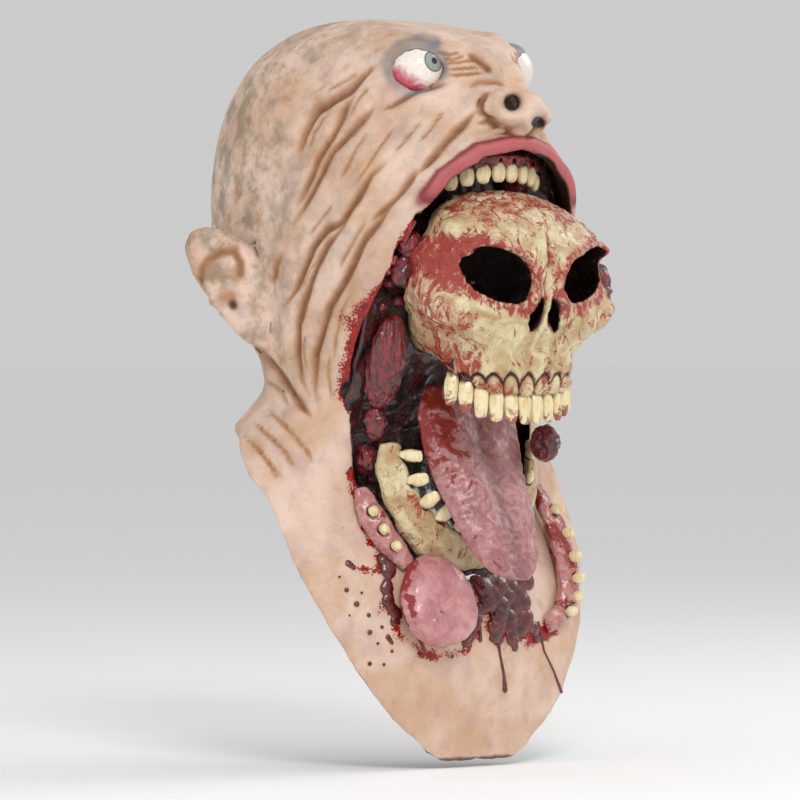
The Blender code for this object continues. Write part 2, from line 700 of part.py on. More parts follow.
def skull_solid(name, inset, bottom, top, rows, columns, finish=None):
    """Closed solid of the skull's form between two heights."""
    rings = []
    for row in range(rows + 1):
        height = bottom + (top - bottom) * row / rows
        ring = []
        for step in range(columns):
            ring.append(skull_point(2 * math.pi * (step + 0.5) / columns - math.pi, height, inset))
        rings.append(ring)
    middle = sum(rings[-1], Vector()) / columns
    rings.append([middle + Vector((0, 0, SKULL_HEIGHT * 0.02))])
    return closed_object(name, rings, finish)


def skull_rim_depth():
    """Place along Y where the skull's face ends at the back."""
    return -(SKULL_AXIS_FORWARD * HEAD_FRONT - SKULL_RIM_BEHIND_AXIS)


def skull_envelope():
    """Solid of the skull's outside with the seat gap round it."""
    whole = skull_solid("skull_outside", 0.0, 0.0, 1.0, SKULL_ROWS, SKULL_COLUMNS)
    grown = grown_copy(whole, SEAT_GAP)
    bpy.data.objects.remove(whole)
    return grown


def skull_room():
    """Solid that clears the skull and the way behind it out of the flesh bed."""
    room = skull_envelope()
    rim = skull_rim_depth()
    edge = []
    for row in range(9):
        height = 0.06 + 0.60 * row / 8
        axis = read_table(SKULL_SECTIONS, 2, height) * SKULL_REACH + SKULL_AXIS_FORWARD * HEAD_FRONT
        share = min((rim + axis) / SKULL_BACK, 0.95)
        half_width = read_table(SKULL_SECTIONS, 1, height) * SKULL_HALF_WIDTH
        reach = (1 - share ** SECTION_POWER) ** (1 / SECTION_POWER)
        lift = SKULL_LIFT * (1 - height) * 1.3
        edge.append((half_width * reach * 0.94, level(SKULL_BASE_HEIGHT) + height * SKULL_HEIGHT + lift))
    outline = edge + [(-across, height) for across, height in edge[::-1]]
    tool = outline_prism(
        "way", outline, Vector((1, 0, 0)), Vector((0, 0, 1)),
        Vector((0, rim - 0.6 * SKULL_REACH, 0)), Vector((0, rim + SKULL_BACK, 0)),
    )
    combine(room, tool, "UNION")
    return room


def make_skull(finish):
    """Skull face: hollow behind, with eye sockets and a split nose hole through its wall."""
    skull = skull_solid("skull", 0.0, 0.0, 1.0, SKULL_ROWS, SKULL_COLUMNS, finish)
    hollow = skull_solid("hollow", SKULL_WALL, 0.11, 0.95, 7, 16)
    combine(skull, hollow, "DIFFERENCE")
    rim = skull_rim_depth()
    box = [(-1, -1), (1, -1), (1, 1), (-1, 1)]
    wide = SKULL_HALF_WIDTH * 2
    tool = outline_prism(
        "back", box, Vector((wide, 0, 0)), Vector((0, 0, MASK_HEIGHT)),
        Vector((0, rim, 0)), Vector((0, rim + 4 * SKULL_BACK, 0)),
    )
    combine(skull, tool, "DIFFERENCE")
    base = level(SKULL_BASE_HEIGHT)
    front = -2 * HEAD_FRONT
    inside = rim - 0.35 * SKULL_REACH
    for side in (-1, 1):
        centre = Vector((side * 0.49 * SKULL_HALF_WIDTH, front, base + 0.592 * SKULL_HEIGHT))
        across = Vector((side, 0, 0.30)) * SOCKET_HALF_WIDTH
        along = Vector((0, 0, 1)) * SOCKET_HALF_HEIGHT
        tool = outline_prism("socket", oval(12, 2.6), across, along, centre, centre + Vector((0, inside - front, 0)))
        combine(skull, tool, "DIFFERENCE")
        centre = Vector((side * 0.100 * SKULL_HALF_WIDTH, front, base + 0.395 * SKULL_HEIGHT))
        across = Vector((side, 0, -0.35)) * NASAL_HALF_WIDTH
        along = Vector((-side * 0.25, 0, 1)) * NASAL_HALF_HEIGHT
        tool = outline_prism("nasal", oval(8, 2.0), across, along, centre, centre + Vector((0, inside - front, 0)))
        combine(skull, tool, "DIFFERENCE")
    return skull


def make_tooth(name, seat, down, outward, width, length, finish, thickness=0.8, root=ROOT_DEPTH):
    """Tooth on a seat point: it hangs along down, its broad side faces outward, its root sits in the seat."""
    down = down.normalized()
    across = down.cross(outward).normalized()
    outward = across.cross(down).normalized()
    rings = []
    for along, wide, thick in TOOTH_PROFILE:
        reach = along * (length if along > 0 else root)
        middle = seat + down * reach
        ring = []
        for side, face in oval(6, 2.6):
            ring.append(
                middle + across * side * wide * width / 2 + outward * face * thick * width * thickness / 2
            )
        rings.append(ring)
    return closed_object(name, rings, finish)


def even_angles(point_at, first, last, count):
    """Angles that split a curve into even lengths, one in the middle of each length."""
    steps = 240
    angles = [first + (last - first) * step / steps for step in range(steps + 1)]
    lengths = [0.0]
    for start, end in zip(angles, angles[1:]):
        lengths.append(lengths[-1] + (point_at(end) - point_at(start)).length)
    found = []
    for index in range(count):
        wanted = lengths[-1] * (index + 0.5) / count
        found.append(angles[min(range(steps + 1), key=lambda step: abs(lengths[step] - wanted))])
    return found


def make_skull_teeth(finish):
    """Row of teeth seated in the skull's lower rim."""
    teeth = []
    inset = SKULL_TOOTH_WIDTH * 0.46
    angles = even_angles(lambda angle: skull_point(angle, 0.0, inset), -1.42, 1.42, 12)
    for index, angle in enumerate(angles):
        seat = skull_point(angle, 0.0, inset)
        outward = skull_point(angle, 0.0, 0.0) - skull_point(angle, 0.0, 0.01)
        teeth.append(make_tooth(
            "skull_tooth_%d" % (index + 1), seat, Vector((0, 0, -1)) + outward.normalized() * 0.12, outward,
            SKULL_TOOTH_WIDTH, SKULL_TOOTH_LENGTH, finish,
        ))
    return teeth


def gum_point(angle):
    """Middle of the gum arch at an angle from its front."""
    middle = at(0.0, 0.690, 0.806)
    return middle + Vector((
        GUM_HALF_WIDTH * math.sin(angle), -GUM_REACH * math.cos(angle), -GUM_DROP * (1 - math.cos(angle))
    ))


def make_gum(finish):
    """Gum arch behind the upper lip."""
    rings = []
    steps = 10
    for step in range(steps + 1):
        angle = GUM_END_TURN * (2 * step / steps - 1)
        middle = gum_point(angle)
        outward = Vector((math.sin(angle), -math.cos(angle), 0))
        girth = GUM_RADIUS * (0.6 if step in (0, steps) else 1.0)
        rings.append([
            middle + outward * across * girth + Vector((0, 0, 1)) * lift * girth for across, lift in oval(6)
        ])
    return closed_object("upper_gum", rings, finish)


def make_upper_teeth(finish):
    """Small teeth that hang from the gum arch."""
    teeth = []
    for index, angle in enumerate(even_angles(gum_point, -GUM_TOOTH_TURN, GUM_TOOTH_TURN, 8)):
        outward = Vector((math.sin(angle), -math.cos(angle), 0))
        seat = gum_point(angle) - Vector((0, 0, GUM_RADIUS * 0.55)) + outward * GUM_RADIUS * 0.3
        teeth.append(make_tooth(
            "upper_tooth_%d" % (index + 1), seat, Vector((0, 0, -1)), outward,
            UPPER_TOOTH_WIDTH, UPPER_TOOTH_LENGTH, finish,
        ))
    return teeth


def make_tongue(finish):
    """Long tongue that hangs out over the jawbone, with a sunken middle line."""
    rings = []
    for height, forward, width, thickness, curl in TONGUE_SECTIONS:
        ring = []
        for across, face in oval(12, 2.2):
            back = curl * TONGUE_THICKNESS * across ** 2
            groove = 0.14 * TONGUE_THICKNESS * bell(across, 0.28) if face > 0 else 0.0
            point = at(0.0, forward, height)
            point.x = across * width * TONGUE_HALF_WIDTH
            point.y -= face * thickness * TONGUE_THICKNESS / 2 - back - groove
            ring.append(point)
        rings.append(ring)
    return closed_object("tongue", rings, finish)


def jaw_edges(place):
    """Outer and inner edge points of the jawbone; place runs from -1 at its right end to 1 at its left."""
    share = 1 - abs(place)
    values = [path_value(JAW_SECTIONS, column, share) for column in range(6)]
    side = -1 if place < 0 else 1
    return at(side * values[0], values[1], values[2]), at(side * values[3], values[4], values[5])


def make_jawbone(finish):
    """Curved plate of the dropped lower jaw."""
    rings = []
    steps = 12
    for step in range(steps + 1):
        place = -1 + 2 * step / steps
        outer, inner = jaw_edges(place)
        ahead = jaw_edges(min(place + 0.05, 1.0))[0] - jaw_edges(max(place - 0.05, -1.0))[0]
        broad = inner - outer
        thin = broad.cross(ahead).normalized()
        if thin.y > 0:
            thin = -thin
        middle = (inner + outer) / 2
        size = 0.75 if step in (0, steps) else 1.0
        rings.append([
            middle + broad * across * 0.5 * size + thin * face * JAW_THICKNESS * 0.5 * size
            for across, face in oval(8, 2.6)
        ])
    return closed_object("jawbone", rings, finish)


def make_jaw_teeth(finish):
    """Teeth along the jawbone's inner edge."""
    teeth = []
    for side in (-1, 1):
        for share in JAW_TOOTH_PLACES:
            outer, inner = jaw_edges(side * (1 - share))
            broad = (inner - outer).normalized()
            seat = inner - broad * JAW_TOOTH_WIDTH * 0.15
            down = broad + Vector((0, -0.45, 0.0))
            outward = Vector((side * 0.6, -0.8, -0.2))
            teeth.append(make_tooth(
                "jaw_tooth_%d" % (len(teeth) + 1), seat, down, outward,
                JAW_TOOTH_WIDTH, JAW_TOOTH_LENGTH, finish,
            ))
    return teeth


def lip_point(path, share):
    """Middle of a torn lip strip and its girth at a share of its length."""
    values = [path_value(path, column, share) for column in range(4)]
    return at(values[0], values[1], values[2]), values[3]


def make_lip(name, path, finish):
    """Strip of torn lip that lies on the bib."""
    rings = []
    steps = 9
    for step in range(steps + 1):
        share = step / steps
        middle, girth = lip_point(path, share)
        ahead = lip_point(path, min(share + 0.05, 1.0))[0] - lip_point(path, max(share - 0.05, 0.0))[0]
        face = Vector((math.copysign(0.35, middle.x), -0.9, 0.15)).normalized()
        across = ahead.cross(face).normalized()
        rings.append([
            middle + across * side * girth * LIP_STRIP_WIDTH / 2 + face * out * girth * LIP_STRIP_THICKNESS / 2
            for side, out in oval(8)
        ])
    return closed_object(name, rings, finish)


def make_lip_teeth(name, path, places, finish):
    """Teeth set in a torn lip strip, pointing out of it."""
    teeth = []
    for index, share in enumerate(places):
        middle, girth = lip_point(path, share)
        face = Vector((math.copysign(0.35, middle.x), -0.9, 0.15)).normalized()
        ahead = (lip_point(path, share + 0.05)[0] - lip_point(path, share - 0.05)[0]).normalized()
        seat = middle + face * girth * LIP_STRIP_THICKNESS * 0.35
        teeth.append(make_tooth(
            "%s_%d" % (name, index + 1), seat, face, ahead.cross(face), LIP_TOOTH_WIDTH, LIP_TOOTH_LENGTH,
            finish, 1.0, LIP_ROOT_DEPTH,
        ))
    return teeth


def make_chin_flap(finish):
    """Lip-like flap of the chin: a pad with a rolled rim and a dimple."""
    centre = at(*CHIN_PLACE)
    rings = [[centre + Vector((0, CHIN_THICKNESS * 0.5, 0))]]
    for size, lift in CHIN_PROFILE:
        ring = []
        for across, up in oval(14, 2.2):
            narrow = 1 - CHIN_NARROWING * up
            tuck = CHIN_TUCK * CHIN_THICKNESS * size * up
            ring.append(centre + Vector((
                across * size * narrow * CHIN_HALF_WIDTH, tuck - lift * CHIN_THICKNESS, up * size * CHIN_HALF_HEIGHT
            )))
        rings.append(ring)
    rings.append([centre + Vector((0, -CHIN_THICKNESS * CHIN_PROFILE[-1][1], 0))])
    return closed_object("chin_flap", rings, finish)


def bed_point(across, height):
    """Front of the flesh bed at a share of its half width and a height."""
    side = read_table(BED_SECTIONS, 1, height)
    middle = read_table(BED_SECTIONS, 2, height)
    blend = min(max((abs(across) - 0.45) / 0.35, 0.0), 1.0)
    blend = blend * blend * (3 - 2 * blend)
    ripple = 0.010 * math.sin(across * 11.0 + height * 31.0)
    return at(across * BED_HALF_WIDTH, middle + (side - middle) * blend + ripple, height)


def make_bed(finish):
    """Sheet of dark flesh inside the mouth's edge, trimmed to the hollow of the head."""
    top, bottom = BED_SECTIONS[0][0], BED_SECTIONS[-1][0]
    rings = []
    for row in range(BED_ROWS + 1):
        height = top + (bottom - top) * row / BED_ROWS
        slope = bed_point(0.0, height - 0.01) - bed_point(0.0, height + 0.01)
        back = Vector((0, -slope.z, slope.y)).normalized() * BED_THICKNESS
        line = [bed_point(-1 + 2 * step / BED_COLUMNS, height) for step in range(BED_COLUMNS + 1)]
        rings.append(line + [point + back for point in line[::-1]])
    bed = closed_object("gore_bed", rings, finish)
    combine(bed, skin_solid("hollow", SKIN_WALL + SEAT_GAP, HOLLOW_FOLLOW, True), "INTERSECT")
    return bed


def make_lumps(finish):
    """Wet lumps of flesh round the skull."""
    lumps = []
    for name, place, half_sizes, lean in FLESH_LUMPS:
        size = Vector(half_sizes) * LUMP_SIZE
        lumps.append(ellipsoid(name, at(*place), size, finish, 8, 6, lean))
    return lumps


def finish_piece(item):
    """Merge the flat facets that the cuts left and shade the piece smooth."""
    bm = bmesh.new()
    bm.from_mesh(item.data)
    bmesh.ops.dissolve_limit(bm, angle_limit=FLAT_ANGLE, verts=bm.verts[:], edges=bm.edges[:])
    bmesh.ops.triangulate(bm, faces=bm.faces[:])
    bm.to_mesh(item.data)
    bm.free()
    for polygon in item.data.polygons:
        polygon.use_smooth = True


def make_materials():
    """One plain material for each finish."""
    made = {}
    for name, (red, green, blue, roughness) in FINISHES.items():
        material = bpy.data.materials.new(name)
        material.use_nodes = True
        shader = material.node_tree.nodes["Principled BSDF"]
        shader.inputs["Base Color"].default_value = (red, green, blue, 1.0)
        shader.inputs["Roughness"].default_value = roughness
        made[name] = material
    return made


def main():
    """Build every piece and fit them to each other."""
    for item in list(bpy.data.objects):
        bpy.data.objects.remove(item)
    finishes = make_materials()
    skin = make_skin(finishes["skin_latex"])
    eyes = [make_eye("eyeball_right", -1, finishes["eye_gloss"]), make_eye("eyeball_left", 1, finishes["eye_gloss"])]
    skull = make_skull(finishes["bone_latex"])
    skull_teeth = make_skull_teeth(finishes["tooth_enamel"])
    gum = make_gum(finishes["gum_latex"])
    upper_teeth = make_upper_teeth(finishes["tooth_enamel"])
    tongue = make_tongue(finishes["tongue_latex"])
    jawbone = make_jawbone(finishes["bone_latex"])
    jaw_teeth = make_jaw_teeth(finishes["tooth_enamel"])
    right_lip = make_lip("torn_lip_right", RIGHT_LIP_PATH, finishes["torn_flesh"])
    left_lip = make_lip("torn_lip_left", LEFT_LIP_PATH, finishes["torn_flesh"])
    right_lip_teeth = make_lip_teeth("lip_tooth_right", RIGHT_LIP_PATH, RIGHT_LIP_TEETH, finishes["tooth_enamel"])
    left_lip_teeth = make_lip_teeth("lip_tooth_left", LEFT_LIP_PATH, LEFT_LIP_TEETH, finishes["tooth_enamel"])
    chin = make_chin_flap(finishes["torn_flesh"])
    bed = make_bed(finishes["gore_latex"])
    lumps = make_lumps(finishes["lump_latex"])

    for eye in eyes:
        make_room(skin, eye)
    for piece in (right_lip, left_lip, chin):
        combine(piece, skin_solid("outside", -SEAT_GAP, 1.0, False), "DIFFERENCE")
    combine(gum, skin_solid("hollow", SKIN_WALL + SEAT_GAP, HOLLOW_FOLLOW, True), "INTERSECT")
    for parent, teeth in (
        (skull, skull_teeth), (gum, upper_teeth), (jawbone, jaw_teeth),
        (right_lip, right_lip_teeth), (left_lip, left_lip_teeth),
    ):
        for tooth in teeth:
            make_room(parent, tooth)
    make_room(right_lip, jawbone)
    make_room(chin, jawbone)
    make_room(chin, right_lip)
    combine(bed, skull_room(), "DIFFERENCE")
    for lump in lumps:
        combine(lump, skull_envelope(), "DIFFERENCE")
    for lump_name, seat_name in LUMP_SEATS:
        make_room(bpy.data.objects[lump_name], bpy.data.objects[seat_name])
    for lump in lumps:
        make_room(bed, lump)
    for piece in (gum, tongue, jawbone):
        make_room(bed, piece)
    for item in bpy.data.objects:
        finish_piece(item)


main()
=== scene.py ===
"""Scene of the zombie mask: sculpted and painted latex over the frame that the mask is built on.

The mask faces -Y and its right side is -X. Folds and paint edges are laid out on a drawing sheet that stands
obliquely in front of the mask: one sheet unit is SHEET_UNIT metres, across grows to the right of the sheet and
down grows towards the hem. Both halves of the head share one layout, mirrored over the middle plane.
"""

import logging
from dataclasses import dataclass
from enum import Enum
from typing import Callable, Optional, Sequence

import bmesh
import bpy
import numpy as np
from mathutils import Matrix, Vector, noise


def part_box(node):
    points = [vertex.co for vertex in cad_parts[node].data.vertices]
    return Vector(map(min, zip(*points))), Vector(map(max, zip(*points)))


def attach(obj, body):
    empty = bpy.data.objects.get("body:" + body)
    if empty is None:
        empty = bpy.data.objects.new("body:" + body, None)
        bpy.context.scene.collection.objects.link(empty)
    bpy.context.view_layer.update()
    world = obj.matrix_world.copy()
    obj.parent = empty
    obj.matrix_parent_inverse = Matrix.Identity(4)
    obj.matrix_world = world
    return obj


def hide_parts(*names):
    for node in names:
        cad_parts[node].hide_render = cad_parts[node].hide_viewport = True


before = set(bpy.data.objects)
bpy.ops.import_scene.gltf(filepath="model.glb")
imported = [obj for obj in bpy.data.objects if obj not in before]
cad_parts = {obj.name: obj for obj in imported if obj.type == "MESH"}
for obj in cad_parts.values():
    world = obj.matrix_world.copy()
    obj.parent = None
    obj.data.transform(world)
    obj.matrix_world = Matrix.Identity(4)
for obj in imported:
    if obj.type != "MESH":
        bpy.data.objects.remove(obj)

logging.basicConfig(level=logging.INFO, format="%(message)s")
LOG = logging.getLogger("mask")

Array = np.ndarray
Path = Sequence[tuple[float, float]]

SHEET_UNIT = 0.0006
SHEET_MIDDLE = 368.0
SHEET_HEM = 765.0
SHEET_RIGHT = np.array([0.766, -0.643, 0.0])
SHEET_AWAY = np.array([0.643, 0.766, 0.0])
HEM_LEVEL = -0.4475
STRAY_SEED = 7
EYE_PLACE = (0.0350, -0.0878, -0.0304)
NOSE_PLACE = (0.0, -0.140, -0.054)
NOSTRILS = ((511.0, 104.0, 12.0), (537.0, 124.0, 9.5))


class Paint(Enum):
    """Names of the painted point attributes that the finishes read."""

    # brown wash along the folds, partly painted shade, and painted shade in every hollow
    CREASE = "paint_crease"
    BLOOD = "paint_blood"
    LIP = "paint_lip"
    LID = "paint_lid"
    AGE = "paint_age"
    # darkness painted into hollows, holes and the inside, mostly painted shade; on bone partly stain, on teeth the
    # darker root
    CAVITY = "paint_cavity"


def on_sheet(points: Array, mirrored: bool = True) -> Array:
    """Lay points on the drawing sheet.

    Args:
        points: point places, one row each, in metres.
        mirrored: lay both halves of the head on the right half's layout.

    Returns:
        Across and down values, one row for each point.
    """
    flat = points.copy()
    if mirrored:
        flat[:, 0] = -np.abs(flat[:, 0])
    across = SHEET_MIDDLE + flat @ SHEET_RIGHT / SHEET_UNIT
    down = SHEET_HEM - (flat[:, 2] - HEM_LEVEL) / SHEET_UNIT
    return np.stack([across, down], axis=1)


def along_path(places: Array, path: Path) -> tuple[Array, Array]:
    """Measure how far sheet places lie from a path and where along it.

    Args:
        places: across and down values, one row each.
        path: corners of the path.

    Returns:
        For each place its distance, and the share of the path's length at its nearest point.
    """
    corners = np.array(path, float)
    lengths = np.linalg.norm(np.diff(corners, axis=0), axis=1)
    starts = np.concatenate([[0.0], np.cumsum(lengths)])
    nearest = np.full(len(places), 1e9)
    along = np.zeros(len(places))
    for start, end, begun, length in zip(corners, corners[1:], starts, lengths):
        run = end - start
        share = np.clip(((places - start) @ run) / max(run @ run, 1e-9), 0.0, 1.0)
        away = np.linalg.norm(places - start - share[:, None] * run, axis=1)
        closer = away < nearest
        nearest = np.where(closer, away, nearest)
        along = np.where(closer, (begun + share * length) / starts[-1], along)
    return nearest, along


def path_distance(places: Array, path: Path) -> Array:
    """Distance of places from a path, in the path's units."""
    return along_path(places, path)[0]


def bell(distance: Array, width: float) -> Array:
    """Smooth bump of height one that fades with distance."""
    return np.exp(-((distance / width) ** 2))


def ramp(values: Array, low: float, high: float) -> Array:
    """Smooth step from 0 at low to 1 at high."""
    share = np.clip((values - low) / (high - low), 0.0, 1.0)
    return share * share * (3 - 2 * share)


def cloud(points: Array, size: float, seed: float = 0.0, stretch: Sequence[float] = (1, 1, 1)) -> Array:
    """Soft random field between about -1 and 1.

    Args:
        points: point places in metres.
        size: size of one blotch in metres.
        seed: shift that gives another field.
        stretch: how much longer the blotches are along each axis.

    Returns:
        One value for each point.
    """
    scaled = points / (size * np.array(stretch)) + seed
    return np.array([noise.noise(Vector(place)) for place in scaled.tolist()])


class Clay:
    """Sculpting copy of a frame node: its vertices move as one array and carry painted attributes."""

    def __init__(self, node: str, name: str) -> None:
        """Copy a node's mesh and merge its loose triangles.

        Args:
            node: name of the frame node.
            name: name of the new piece.
        """
        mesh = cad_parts[node].data.copy()
        mesh.name = name
        self.item = bpy.data.objects.new(name, mesh)
        bpy.context.scene.collection.objects.link(self.item)
        self.edit(lambda bm: bmesh.ops.remove_doubles(bm, verts=bm.verts[:], dist=0.00001))
        mesh.materials.clear()
        self.read()

    def edit(self, change: Callable[[bmesh.types.BMesh], object]) -> None:
        """Run one change on the mesh.

        Args:
            change: function that edits the mesh it is given.
        """
        bm = bmesh.new()
        bm.from_mesh(self.item.data)
        change(bm)
        bm.to_mesh(self.item.data)
        bm.free()

    def read(self) -> None:
        """Read the vertices, edges and normals into arrays."""
        mesh = self.item.data
        count = len(mesh.vertices)
        self.co = np.zeros(count * 3)
        mesh.vertices.foreach_get("co", self.co)
        self.co = self.co.reshape(-1, 3)
        edges = np.zeros(len(mesh.edges) * 2, int)
        mesh.edges.foreach_get("vertices", edges)
        self.edges = edges.reshape(-1, 2)
        self.normals()

    def normals(self) -> Array:
        """Work out the vertex normals of the present shape."""
        mesh = self.item.data
        mesh.vertices.foreach_set("co", self.co.ravel())
        mesh.update()
        found = np.zeros(len(mesh.vertices) * 3)
        mesh.vertex_normals.foreach_get("vector", found)
        self.no = found.reshape(-1, 3)
        return self.no

    def refine(self, limit: Callable[[Vector, Vector], float], passes: int = 4) -> None:
        """Split edges until none is longer than the limit at its middle.

        Args:
            limit: longest edge at a place whose vertex normal is given.
            passes: how many times edges may be halved.
        """

        def split(bm: bmesh.types.BMesh) -> None:
            for _step in range(passes):
                bm.normal_update()
                long = [
                    edge for edge in bm.edges
                    if edge.calc_length() > limit(
                        (edge.verts[0].co + edge.verts[1].co) / 2, edge.verts[0].normal + edge.verts[1].normal
                    )
                ]
                if not long:
                    break
                bmesh.ops.subdivide_edges(bm, edges=long, cuts=1)
                bmesh.ops.triangulate(bm, faces=[face for face in bm.faces if len(face.verts) > 3])

        self.edit(split)
        self.read()

    def relax(self, weight: Array, rounds: int) -> None:
        """Smooth the shape by moving each vertex towards the middle of its neighbours.

        Args:
            weight: share of the way for each vertex.
            rounds: how many times.
        """
        first, second = self.edges[:, 0], self.edges[:, 1]
        count = np.maximum(np.bincount(self.edges.ravel(), minlength=len(self.co)), 1)
        for _step in range(rounds):
            for axis in range(3):
                column = self.co[:, axis]
                total = np.bincount(first, column[second], len(column)) + np.bincount(
                    second, column[first], len(column)
                )
                self.co[:, axis] = column + (total / count - column) * weight
        self.normals()

    def push(self, amount: Array) -> None:
        """Move every vertex along its normal."""
        self.co += self.no * amount[:, None]
        self.normals()

    def curvature(self) -> Array:
        """How hollow the shape is at each vertex: height of the neighbours' middle above it, in metres."""
        first, second = self.edges[:, 0], self.edges[:, 1]
        count = np.maximum(np.bincount(self.edges.ravel(), minlength=len(self.co)), 1)
        middle = np.zeros_like(self.co)
        for axis in range(3):
            column = self.co[:, axis]
            middle[:, axis] = (
                np.bincount(first, column[second], len(column)) + np.bincount(second, column[first], len(column))
            ) / count
        return np.sum((middle - self.co) * self.no, axis=1)

    def paint(self, kind: Paint, values: Array) -> None:
        """Store one painted value for each vertex."""
        layer = self.item.data.attributes.new(kind.value, "FLOAT", "POINT")
        layer.data.foreach_set("value", np.clip(values, 0.0, 1.0).astype(np.float32))

    def done(self, material: bpy.types.Material, slot: str, *nodes: str) -> bpy.types.Object:
        """Hand the piece over: smooth shading, material, the nodes it stands for.

        Args:
            material: finish of the piece.
            slot: not used.
            nodes: frame nodes that it replaces.

        Returns:
            The finished object.
        """
        self.normals()
        mesh = self.item.data
        mesh.polygons.foreach_set("use_smooth", np.ones(len(mesh.polygons), bool))
        mesh.materials.append(material)
        mesh.update()
        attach(self.item, "root")
        if nodes:
            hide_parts(*nodes)
        LOG.info("%s: %d faces", self.item.name, len(mesh.polygons))
        return self.item


class Graph:
    """Short way to write a material's nodes."""

    def __init__(self, name: str) -> None:
        """Start a material with a Principled shader.

        Args:
            name: name of the material.
        """
        self.material = bpy.data.materials.new(name)
        self.material.use_nodes = True
        self.nodes = self.material.node_tree.nodes
        self.links = self.material.node_tree.links
        self.shader = self.nodes["Principled BSDF"]
        self.place = self.nodes.new("ShaderNodeTexCoord").outputs["Object"]

    def put(self, socket: bpy.types.NodeSocket, value: object) -> None:
        """Link or set one input."""
        if isinstance(value, bpy.types.NodeSocket):
            self.links.new(value, socket)
        elif isinstance(value, (tuple, list)) and len(value) == 3 and socket.type == "RGBA":
            socket.default_value = (*value, 1.0)
        else:
            socket.default_value = value

    def set(self, name: str, value: object) -> None:
        """Link or set one input of the shader."""
        self.put(self.shader.inputs[name], value)

    def noise(self, scale: float, detail: float = 4.0, rough: float = 0.55, warp: float = 0.0,
              stretch: Optional[Sequence[float]] = None) -> bpy.types.NodeSocket:
        """Noise in object space; scale is in blotches a metre."""
        node = self.nodes.new("ShaderNodeTexNoise")
        node.inputs["Scale"].default_value = scale
        node.inputs["Detail"].default_value = detail
        node.inputs["Roughness"].default_value = rough
        node.inputs["Distortion"].default_value = warp
        self.links.new(self.stretched(stretch), node.inputs["Vector"])
        return node.outputs["Fac"]

    def cells(self, scale: float, stretch: Optional[Sequence[float]] = None) -> bpy.types.NodeSocket:
        """Distance to the nearest of scattered points."""
        node = self.nodes.new("ShaderNodeTexVoronoi")
        node.inputs["Scale"].default_value = scale
        self.links.new(self.stretched(stretch), node.inputs["Vector"])
        return node.outputs["Distance"]

    def stretched(self, stretch: Optional[Sequence[float]]) -> bpy.types.NodeSocket:
        """Object coordinates, drawn out along the axes."""
        if stretch is None:
            return self.place
        node = self.nodes.new("ShaderNodeMapping")
        node.inputs["Scale"].default_value = stretch
        self.links.new(self.place, node.inputs["Vector"])
        return node.outputs["Vector"]

    def painted(self, kind: Paint) -> bpy.types.NodeSocket:
        """A painted attribute."""
        node = self.nodes.new("ShaderNodeAttribute")
        node.attribute_name = kind.value
        return node.outputs["Fac"]

    def math(self, kind: str, first: object, second: object = 0.0, clamp: bool = False) -> bpy.types.NodeSocket:
        """One sum."""
        node = self.nodes.new("ShaderNodeMath")
        node.operation = kind
        node.use_clamp = clamp
        self.put(node.inputs[0], first)
        self.put(node.inputs[1], second)
        return node.outputs[0]

    def step(self, value: object, low: float, high: float) -> bpy.types.NodeSocket:
        """Smooth step from 0 at low to 1 at high."""
        node = self.nodes.new("ShaderNodeMapRange")
        node.interpolation_type = "SMOOTHSTEP"
        self.put(node.inputs["Value"], value)
        node.inputs["From Min"].default_value = low
        node.inputs["From Max"].default_value = high
        return node.outputs["Result"]

    def mix(self, share: object, first: object, second: object) -> bpy.types.NodeSocket:
        """Mix two colours."""
        node = self.nodes.new("ShaderNodeMix")
        node.data_type = "RGBA"
        self.put(node.inputs["Factor"], share)
        self.put(node.inputs["A"], first)
        self.put(node.inputs["B"], second)
        return node.outputs["Result"]

    def bump(self, height: bpy.types.NodeSocket, depth: float,
             under: Optional[bpy.types.NodeSocket] = None) -> bpy.types.NodeSocket:
        """Bump from a height field; depth is in metres."""
        node = self.nodes.new("ShaderNodeBump")
        node.inputs["Distance"].default_value = depth
        self.links.new(height, node.inputs["Height"])
        if under is not None:
            self.links.new(under, node.inputs["Normal"])
        return node.outputs["Normal"]


def srgb(code: str) -> tuple[float, float, float]:
    """Linear colour from a six-figure hex code."""
    parts = [int(code[index:index + 2], 16) / 255 for index in (0, 2, 4)]
    return tuple(part / 12.92 if part <= 0.04045 else ((part + 0.055) / 1.055) ** 2.4 for part in parts)


